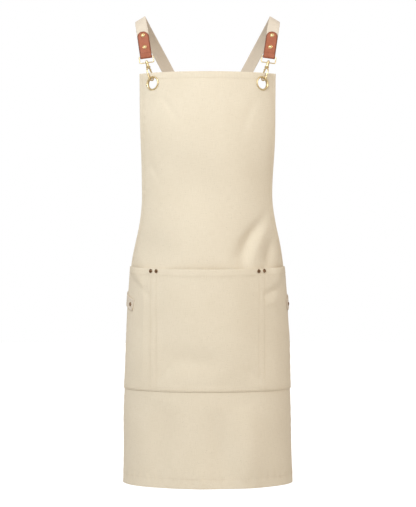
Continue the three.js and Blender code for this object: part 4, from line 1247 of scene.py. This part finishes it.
class APRON_OT_loops(bpy.types.Operator):
    """Makes the rectangular loops, each with the boss that its hook turns in"""

    bl_idname = "apron.loops"
    bl_label = "Loops"

    FLATTER = 0.8

    def execute(self, context):
        scene = context.scene
        wire = self.wire(scene)
        boss = self.boss(scene.apron_fittings)
        for label, side in SIDES.items():
            pieces = [copied(wire, tab_frame(scene, side)), copied(boss, hook_place(label)[0])]
            fit(joined(f"brass_loop_{label}", pieces), "Brass", "apron", f"loop_{label}")
        remove(wire, boss)
        return {"FINISHED"}

    def wire(self, scene):
        """A wire with four bent corners, closed on itself, in the tab's frame."""
        fittings = scene.apron_fittings
        corner = fittings.loop_corner
        half_wide = (fittings.loop_inside + fittings.loop_bar) / 2 - corner
        half_high = fittings.loop_pitch / 2 - corner
        middle = bar_height(scene) - fittings.loop_pitch / 2
        start = (0, middle + fittings.loop_pitch / 2, 0)
        piece = start_circle("loop", fittings.loop_bar / 2, 14, False, start, (0, math.pi / 2, 0))
        for x, y, way in (
            (1, 1, (half_wide, 0, 0)),
            (1, -1, (0, -2 * half_high, 0)),
            (-1, -1, (-2 * half_wide, 0, 0)),
            (-1, 1, (0, 2 * half_high, 0)),
        ):
            ahead(way)
            bent((x * half_wide, middle + y * half_high, 0), (0, 0, 1), 90, 6)
        ahead((half_wide, 0, 0))
        bpy.ops.mesh.select_all(action="SELECT")
        bpy.ops.transform.resize(value=(1, 1, self.FLATTER), center_override=(0, 0, 0))
        close_shape()
        return piece

    def boss(self, fittings):
        """The round boss on the lower bar, bored for the hook's stem."""
        half, bore, rim = fittings.boss_half, fittings.stem + fittings.gap, 0.0005
        under = arc(fittings.boss - rim, -half + rim, rim, -90, 0, 3)
        over = arc(fittings.boss - rim, half - rim, rim, 0, 90, 3)
        return raised("boss", [(bore, -half), *under, *over, (bore, half)], 32, closed=True)


class APRON_OT_hooks(bpy.types.Operator):
    """Makes the swivel snap hooks: stem, barrel, cheeks, spine and bend"""

    bl_idname = "apron.hooks"
    bl_label = "Snap hooks"

    CHEEK_THICK = 0.0011
    CHEEK_OUT = 0.00205
    WIRE_START = (0, -0.0006, -0.0075)

    def execute(self, context):
        fittings = context.scene.apron_fittings
        pivot = hook_place("left")[1]
        parts = [self.barrel(fittings), self.wire(fittings), self.pin(pivot)]
        cheek = self.cheek(pivot)
        parts += [copied(cheek, Matrix.Translation((way * self.CHEEK_OUT, 0, 0))) for way in (-1, 1)]
        remove(cheek)
        model = joined("snap hook", parts)
        for label in SIDES:
            made = joined(f"snap_hook_{label}", [copied(model, hook_place(label)[0])])
            fit(made, "Brass", f"hook_{label}", f"hook_{label}")
        remove(model)
        return {"FINISHED"}

    def barrel(self, fittings):
        """The barrel with a shallow groove, the stem through the boss and the head on top."""
        seat = fittings.boss_half + fittings.gap
        stem, wide, low = fittings.stem, fittings.barrel, fittings.barrel_low
        head = 1.8 * stem
        profile = arc(wide - 0.001, -low + 0.001, 0.001, -90, 0, 4)
        profile += [(wide, -0.68 * low), (0.86 * wide, -0.64 * low), (0.86 * wide, -0.56 * low)]
        profile += [(wide, -0.52 * low), (wide, -seat - 0.0004), (wide - 0.0004, -seat), (stem, -seat)]
        profile += [(stem, seat), (head, seat), (head, seat + 0.0006)]
        profile += arc(0, seat + 0.0002, head, 15, 86, 6)
        return raised("barrel", profile, 36)

    def wire(self, fittings):
        """The wire: an S bend out to the spine, the spine, the round bend and the nose that tapers."""
        radius, bend = fittings.wire, fittings.bend
        start = self.WIRE_START
        sideways, down = bend + start[1], fittings.spine_top + start[2]
        lean = 2 * math.atan2(sideways, down)
        curve = down / (2 * math.sin(lean))
        reach = hook_reach(fittings)
        piece = start_circle("wire", radius, 16, True, start)
        ahead((0, 0, 0))
        first = (0, start[1] - curve, start[2])
        second = (0, first[1] + 2 * curve * math.cos(lean), first[2] - 2 * curve * math.sin(lean))
        bent(first, (1, 0, 0), math.degrees(lean), 6)
        bent(second, (1, 0, 0), -math.degrees(lean), 6)
        ahead((0, 0, fittings.spine_top + bend - reach))
        bent((0, 0, bend - reach), (1, 0, 0), -180, 20)
        ahead((0, 0, 0.6 * fittings.nose_rise))
        for rise, scale in ((0.2, 0.94), (0.14, 0.86), (0.06, 0.6)):
            ahead((0, 0, rise * fittings.nose_rise), scale)
        bpy.ops.mesh.edge_face_add()
        close_shape()
        return piece

    def pin(self, pivot):
        """The pin that the gate turns on, with a flat head on each side."""
        half = self.CHEEK_OUT + self.CHEEK_THICK / 2
        profile = [(0.0011, -half - 0.0004), (0.0013, -half - 0.0002), (0.0013, -half), (0.0007, -half)]
        profile += [(radius, -height) for radius, height in reversed(profile)]
        piece = raised("pin", profile, 20)
        piece.data.transform(Matrix.Translation(pivot) @ Matrix.Rotation(math.pi / 2, 4, "Y"))
        return piece

    def cheek(self, pivot):
        """One of the two plates that carry the pin, from the spine out to the gate."""
        end = (-0.0012, pivot.z - 0.0002)
        piece = lug("cheek", (pivot.y, pivot.z), end, 0.0022, 0.0027, self.CHEEK_THICK)
        close_shape()
        apply_modifier(piece, "BEVEL", width=0.0003, segments=2, angle_limit=math.radians(40))
        return piece


class APRON_OT_gates(bpy.types.Operator):
    """Makes the sprung levers that close the hooks, each with its thumb nub"""

    bl_idname = "apron.gates"
    bl_label = "Gates"

    def execute(self, context):
        fittings = context.scene.apron_fittings
        model = self.gate(fittings, hook_place("left")[1])
        for label in SIDES:
            made = joined(f"spring_gate_{label}", [copied(model, hook_place(label)[0])])
            fit(made, "Brass", f"gate_{label}", f"gate_{label}")
        remove(model)
        return {"FINISHED"}

    def gate(self, fittings, pivot):
        """A flat bar from the hub down to just above the nose, with a nub for the thumb."""
        above_bend = fittings.bend + fittings.nose_rise + fittings.nose_gap + fittings.gate_tip
        low = above_bend - hook_reach(fittings)
        hub = (pivot.y, pivot.z)
        tip = (fittings.bend, low)
        piece = lug("gate", hub, tip, fittings.gate_hub, fittings.gate_tip, fittings.gate_wide)
        for share in (0.2, 0.3, 0.42):
            bpy.ops.mesh.select_all(action="SELECT")
            bpy.ops.mesh.bisect(plane_co=(0, 0, pivot.z + share * (low - pivot.z)), plane_no=(0, 0, 1))
        nub = pivot.z + 0.3 * (low - pivot.z)
        pick(piece, lambda spot: abs(spot.z - nub) < 2e-4 and spot.y > pivot.y + 0.0008)
        bpy.ops.transform.translate(value=(0, fittings.thumb_nub, 0))
        close_shape()
        apply_modifier(piece, "BEVEL", width=0.0004, segments=2, angle_limit=math.radians(32))
        return piece


# Stitches


def resampled(points, outward, pitch, stitch):
    """Start and end places of each stitch along a row, with the way out of the cloth there."""
    gaps = np.linalg.norm(np.diff(points, axis=0), axis=1)
    gone = np.concatenate([[0.0], np.cumsum(gaps)])
    starts = np.arange(0.4 * pitch, gone[-1] - stitch, pitch)
    first = np.stack([np.interp(starts, gone, row) for row in points.T], -1)
    last = np.stack([np.interp(starts + stitch, gone, row) for row in points.T], -1)
    way_out = np.stack([np.interp(starts + stitch / 2, gone, row) for row in outward.T], -1)
    return first, last, way_out


def stretches(wanted):
    """The unbroken stretches of a row where its points are wanted."""
    changes = np.flatnonzero(np.diff(np.concatenate([[False], wanted, [False]]).astype(int)))
    return [slice(first, last) for first, last in zip(changes[::2], changes[1::2])]


# Along a stitch: the share of its length, the share of the thread's radius, and how high it rises, in radii.
STITCH_STATIONS = (
    (0.0, 0.45, -0.9),
    (0.12, 0.95, -0.05),
    (0.5, 1.0, 0.15),
    (0.88, 0.95, -0.05),
    (1.0, 0.45, -0.9),
)


def stitched(name, rows, pitch, stitch, radius):
    """Rows of thread stitches, each a short round thread whose ends dip into the cloth."""
    picked = [resampled(points, outward, pitch, stitch) for points, outward in rows]
    starts, ends, outs = (np.concatenate(parts) for parts in zip(*picked))
    along = ends - starts
    size = np.linalg.norm(along, axis=1, keepdims=True)
    along /= size
    outs = outs - along * np.sum(outs * along, axis=1, keepdims=True)
    outs /= np.linalg.norm(outs, axis=1, keepdims=True)
    across = np.cross(outs, along)
    sides = 6
    points = []
    for share, scale, rise in STITCH_STATIONS:
        centre = starts + along * size * share + outs * radius * rise
        for k in range(sides):
            turn = 2 * math.pi * k / sides
            points.append(centre + radius * scale * (across * math.cos(turn) + outs * math.sin(turn)))
    cloud = np.stack(points, 1)
    ring = np.arange(len(STITCH_STATIONS) * sides).reshape(len(STITCH_STATIONS), sides)
    ahead = np.roll(ring, -1, axis=1)
    walls = np.stack([ring[:-1], ring[1:], ahead[1:], ahead[:-1]], -1).reshape(-1, 4)
    shift = (np.arange(len(starts)) * ring.size)[:, None, None]
    faces = (walls[None] + shift).reshape(-1, 4).tolist()
    caps = np.stack([ring[0], ring[-1][::-1]])
    faces += (caps[None] + shift).reshape(-1, sides).tolist()
    return make_piece(name, cloud.reshape(-1, 3), faces)


class APRON_OT_stitching(bpy.types.Operator):
    """Makes the rows of thread on the hems, the pocket, the leather and the straps' ends"""

    bl_idname = "apron.stitching"
    bl_label = "Stitching"

    CLOTH_STITCH = {"pitch": 0.0042, "stitch": 0.0032, "radius": 0.00028}
    LEATHER_STITCH = {"pitch": 0.0036, "stitch": 0.0027, "radius": 0.0003}
    STRAP_STITCH = {"pitch": 0.0036, "stitch": 0.0027, "radius": 0.00028}
    HEM_ROW = 0.0015
    EYELET_ROOM = 0.0015

    def execute(self, context):
        cloth = HangingCloth(context.scene)
        thread = stitched("canvas_topstitching", self.panel_rows(cloth), **self.CLOTH_STITCH)
        dress(thread, "Thread")
        thread = stitched("pocket_topstitching", self.pocket_rows(cloth), **self.CLOTH_STITCH)
        dress(thread, "Thread")
        for label, side in SIDES.items():
            rows = self.leather_rows(context.scene, side)
            thread = stitched(f"leather_stitching_{label}", rows, **self.LEATHER_STITCH)
            dress(thread, "Leather thread")
            rows = self.strap_rows(cloth, side)
            thread = stitched(f"strap_stitching_{label}", rows, **self.STRAP_STITCH)
            dress(thread, "Thread")
        return {"FINISHED"}

    def cloth_row(self, cloth, run, drop, lift, out=1):
        points = cloth.place(run, drop, lift)
        return points, cloth.place(run, drop, lift + 0.001 * out) - points

    def both_faces(self, cloth, run, drop):
        """A row on the canvas and the same row inside, on the turned hem."""
        folds = cloth.mouth_folds(run, drop)
        inside = -cloth.canvas.thick - cloth.canvas.hem_extra
        return [
            self.cloth_row(cloth, run, drop, folds + THREAD_LIFT),
            self.cloth_row(cloth, run, drop, folds + inside - THREAD_LIFT, -1),
        ]

    def panel_rows(self, cloth):
        canvas = cloth.canvas
        drops = np.linspace(0.002, canvas.long - 0.002, 700)
        rows = []
        for side in SIDES.values():
            run = side * (cloth.half_run(drops) - canvas.side_hem + self.HEM_ROW)
            for part in stretches((drops < cloth.pocket.top - 0.008) | (drops >= cloth.pocket_bottom)):
                rows += self.both_faces(cloth, run[part], drops[part])
        fittings = cloth.fittings
        for drop in (canvas.top_hem - self.HEM_ROW, canvas.long - canvas.bottom_hem + self.HEM_ROW):
            half = float(cloth.half_run(drop)) - 0.002
            run = np.linspace(-half, half, 400)
            off_eyelet = np.hypot(np.abs(run) - fittings.eyelet_run, drop - fittings.eyelet_drop)
            for part in stretches(off_eyelet > fittings.eyelet_flange + self.EYELET_ROOM):
                rows += self.both_faces(cloth, run[part], np.full(len(run[part]), drop))
        return rows

    def pocket_rows(self, cloth):
        pocket = cloth.pocket
        thick = cloth.canvas.thick
        rows = []
        half = cloth.half_full - 0.002
        run = np.linspace(-half, half, 400)
        drop = cloth.pocket_edge(run) + pocket.hem - self.HEM_ROW
        lift = cloth.pocket_lift(run, drop) + thick + pocket.hem_extra
        rows.append(self.cloth_row(cloth, run, drop, lift))
        for up in (0.003, 0.009):
            drop = np.full(400, cloth.pocket_bottom - up)
            lift = cloth.pocket_lift(run, drop) + thick + THREAD_LIFT
            rows.append(self.cloth_row(cloth, run, drop, lift))
        drops = np.linspace(pocket.top + 0.002, cloth.pocket_bottom - 0.002, 260)
        for side in SIDES.values():
            for shift in (-0.5, 0.5):
                run = np.full(260, side * (pocket.seam_run + shift * pocket.seam_width))
                shown = drops > pocket.top + 0.012
                lift = cloth.pocket_lift(run, drops) + thick
                rows.append(self.cloth_row(cloth, run[shown], drops[shown], lift[shown]))
            run = side * (cloth.half_run(drops) - 0.005)
            end = cloth.straps.drop - cloth.canvas.bib_drop
            for part in stretches(np.abs(drops - end + 0.01) > cloth.straps.wide):
                lift = cloth.pocket_lift(run, drops) + thick + THREAD_LIFT
                rows.append(self.cloth_row(cloth, run[part], drops[part], lift[part]))
        return rows

    def strap_rows(self, cloth, side):
        """A box of stitches round the rivet at a strap's lower end."""
        straps = cloth.straps
        end_run = straps.end_run_left if side < 0 else straps.end_run_right
        climb = math.tan(straps.end_slope)
        half = straps.wide / 2 - 0.0028
        lift = cloth.strap_lift + straps.thick / 2 + THREAD_LIFT
        corners = [(0.0025, -half), (0.0025, half), (0.026, half), (0.026, -half), (0.0025, -half)]
        points = []
        for (a, b), (c, d) in zip(corners, corners[1:]):
            points += [(a + (c - a) * i / 8, b + (d - b) * i / 8) for i in range(8)]
        back = np.array([along for along, _ in points])
        across = np.array([across for _, across in points])
        low = straps.drop - cloth.canvas.bib_drop
        run = side * (end_run + back - across * math.sin(straps.end_slope))
        drop = low - (back - straps.rivet_inset) * climb - across * math.cos(straps.end_slope)
        return [self.cloth_row(cloth, run, drop, np.full(len(run), lift))]

    def leather_rows(self, scene, side):
        """Down one edge, across above the fold and up the other edge, on the front and the back."""
        leather = scene.apron_leather
        place = tab_frame(scene, side)
        outer = scene.apron_straps.thick / 2 + scene.apron_fittings.gap + leather.thick
        half = leather.wide / 2 - 0.0022
        low = -leather.long + 0.0115
        top = arc(0, -leather.wide / 2, half, 0, 180, 24)
        line = [(half, low), *[(half, low + (-leather.wide / 2 - low) * i / 12) for i in range(1, 12)]]
        line += top
        line += [(-half, -leather.wide / 2 + (low + leather.wide / 2) * i / 12) for i in range(1, 13)]
        line.append((half, low))
        rows = []
        for out in (1, -1):
            high = out * (outer + THREAD_LIFT)
            points = np.array([place @ Vector((x, y, high)) for x, y in line])
            normal = place.to_3x3() @ Vector((0, 0, out))
            rows.append((points, np.tile(np.array(normal), (len(points), 1))))
        return rows


class APRON_OT_stage(bpy.types.Operator):
    """Makes the pale floor, the soft studio light, the white surroundings and the camera"""

    bl_idname = "apron.stage"
    bl_label = "Stage"

    CAMERA_BACK = 3.5
    CAMERA_HEIGHT = -0.498
    PIXELS_HIGH = 507
    FOCAL_PIXELS = 1639
    FLOOR_HEIGHT = -1.45
    FLOOR_RADIUS = 14
    KEY_PLACE = (-0.95, -1.9, 1.0)
    KEY_SIZE = 1.1
    KEY_WATTS = 37
    KEY_COLOUR = (0.79, 0.9, 1.0)
    FILL_PLACE = (1.4, -2.0, 0.7)
    FILL_SIZE = 1.4
    FILL_WATTS = 14
    SKY_LOW = 0.41
    SKY_HIGH = 0.74
    SKY_COLOUR = (1.0, 0.945, 0.875)
    FLOOR_GLOW = 0.75

    def execute(self, context):
        scene = context.scene
        scene.view_settings.view_transform = "Standard"
        self.camera(scene)
        self.surroundings(scene)
        self.lamp(scene, "key", self.KEY_PLACE, self.KEY_SIZE, self.KEY_WATTS, self.KEY_COLOUR)
        self.lamp(scene, "fill", self.FILL_PLACE, self.FILL_SIZE, self.FILL_WATTS, self.SKY_COLOUR)
        self.floor(scene)
        return {"FINISHED"}

    def camera(self, scene):
        data = bpy.data.cameras.new("camera")
        data.sensor_width = 36.0
        data.lens = 36.0 * self.FOCAL_PIXELS / self.PIXELS_HIGH
        camera = bpy.data.objects.new("camera", data)
        camera.location = (0.001, -self.CAMERA_BACK, self.CAMERA_HEIGHT)
        camera.rotation_euler = (math.pi / 2, 0, 0)
        scene.collection.objects.link(camera)
        scene.camera = camera

    def surroundings(self, scene):
        """White to look at, and a soft light that is stronger from above."""
        world = bpy.data.worlds.new("white surroundings")
        world.use_nodes = True
        nodes, links = world.node_tree.nodes, world.node_tree.links
        light = nodes["Background"]
        light.inputs["Color"].default_value = (*self.SKY_COLOUR, 1)
        height = nodes.new("ShaderNodeSeparateXYZ")
        links.new(nodes.new("ShaderNodeTexCoord").outputs["Generated"], height.inputs[0])
        strength = nodes.new("ShaderNodeMapRange")
        strength.inputs["From Min"].default_value = -1.0
        strength.inputs["To Min"].default_value = self.SKY_LOW
        strength.inputs["To Max"].default_value = self.SKY_HIGH
        links.new(height.outputs["Z"], strength.inputs["Value"])
        links.new(strength.outputs[0], light.inputs["Strength"])
        white = nodes.new("ShaderNodeBackground")
        white.inputs["Color"].default_value = (1, 1, 1, 1)
        chosen = nodes.new("ShaderNodeMixShader")
        links.new(nodes.new("ShaderNodeLightPath").outputs["Is Camera Ray"], chosen.inputs[0])
        links.new(light.outputs[0], chosen.inputs[1])
        links.new(white.outputs[0], chosen.inputs[2])
        links.new(chosen.outputs[0], nodes["World Output"].inputs["Surface"])
        scene.world = world

    def lamp(self, scene, name, place, size, watts, tint):
        data = bpy.data.lights.new(name, "AREA")
        data.shape = "DISK"
        data.size = size
        data.energy = watts
        data.color = tint
        lamp = bpy.data.objects.new(name, data)
        lamp.location = place
        aim = Vector((0, 0, self.CAMERA_HEIGHT)) - lamp.location
        lamp.rotation_euler = aim.to_track_quat("-Z", "Y").to_euler()
        scene.collection.objects.link(lamp)

    def floor(self, scene):
        deselect_all()
        bpy.ops.mesh.primitive_circle_add(
            vertices=96, radius=self.FLOOR_RADIUS, fill_type="NGON", location=(0, 0, self.FLOOR_HEIGHT)
        )
        floor = bpy.context.object
        floor.name = "floor"
        material, nodes, links = new_material("Floor")
        wear = node(nodes, "ShaderNodeGroup", node_tree=wear_group())
        wear.inputs["Mottle scale"].default_value = 2.0
        soft = ramp(nodes, 0.3, 0.7, 0.0, 1.0)
        links.new(wear.outputs["Mottle"], soft.inputs["Value"])
        pale = tuple(scene.apron_finishes.floor)
        tone = mix_colour(nodes, links, soft.outputs[0], pale, tuple(0.97 * c for c in pale))
        shader = nodes["Principled BSDF"]
        links.new(tone, shader.inputs["Base Color"])
        shader.inputs["Roughness"].default_value = 0.9
        shader.inputs["Specular IOR Level"].default_value = 0.1
        shader.inputs["Emission Color"].default_value = (1, 1, 1, 1)
        glow = node(nodes, "ShaderNodeMapRange", {"To Max": self.FLOOR_GLOW})
        links.new(nodes.new("ShaderNodeLightPath").outputs["Is Camera Ray"], glow.inputs["Value"])
        links.new(glow.outputs[0], shader.inputs["Emission Strength"])
        floor.data.materials.append(material)


STEPS = (
    APRON_OT_stage,
    APRON_OT_panel,
    APRON_OT_pocket,
    APRON_OT_straps,
    APRON_OT_leather_tabs,
    APRON_OT_rivets,
    APRON_OT_eyelets,
    APRON_OT_loops,
    APRON_OT_hooks,
    APRON_OT_gates,
    APRON_OT_stitching,
)


class APRON_PT_sidebar(bpy.types.Panel):
    """Lists the apron's sizes, colours and pieces"""

    bl_idname = "APRON_PT_sidebar"
    bl_label = "Cross Back Apron"
    bl_space_type = "VIEW_3D"
    bl_region_type = "UI"
    bl_category = "Apron"

    def draw(self, context):
        for name in GROUPS:
            box = self.layout.box()
            for key in GROUPS[name].__annotations__:
                box.prop(getattr(context.scene, name), key)
        for step in STEPS:
            self.layout.operator(step.bl_idname)


GROUPS = {
    "apron_canvas": CanvasSizes,
    "apron_pocket": PocketSizes,
    "apron_straps": StrapSizes,
    "apron_leather": LeatherSizes,
    "apron_fittings": FittingSizes,
    "apron_finishes": Finishes,
}


def register():
    for name, group in GROUPS.items():
        bpy.utils.register_class(group)
        setattr(bpy.types.Scene, name, PointerProperty(type=group))
    for made in (*STEPS, APRON_PT_sidebar):
        bpy.utils.register_class(made)


def unregister():
    for made in reversed((*STEPS, APRON_PT_sidebar)):
        bpy.utils.unregister_class(made)
    for name, group in reversed(GROUPS.items()):
        delattr(bpy.types.Scene, name)
        bpy.utils.unregister_class(group)


def main():
    register()
    for step in STEPS:
        group, operator = step.bl_idname.split(".")
        getattr(getattr(bpy.ops, group), operator)()


if __name__ == "__main__":
    main()
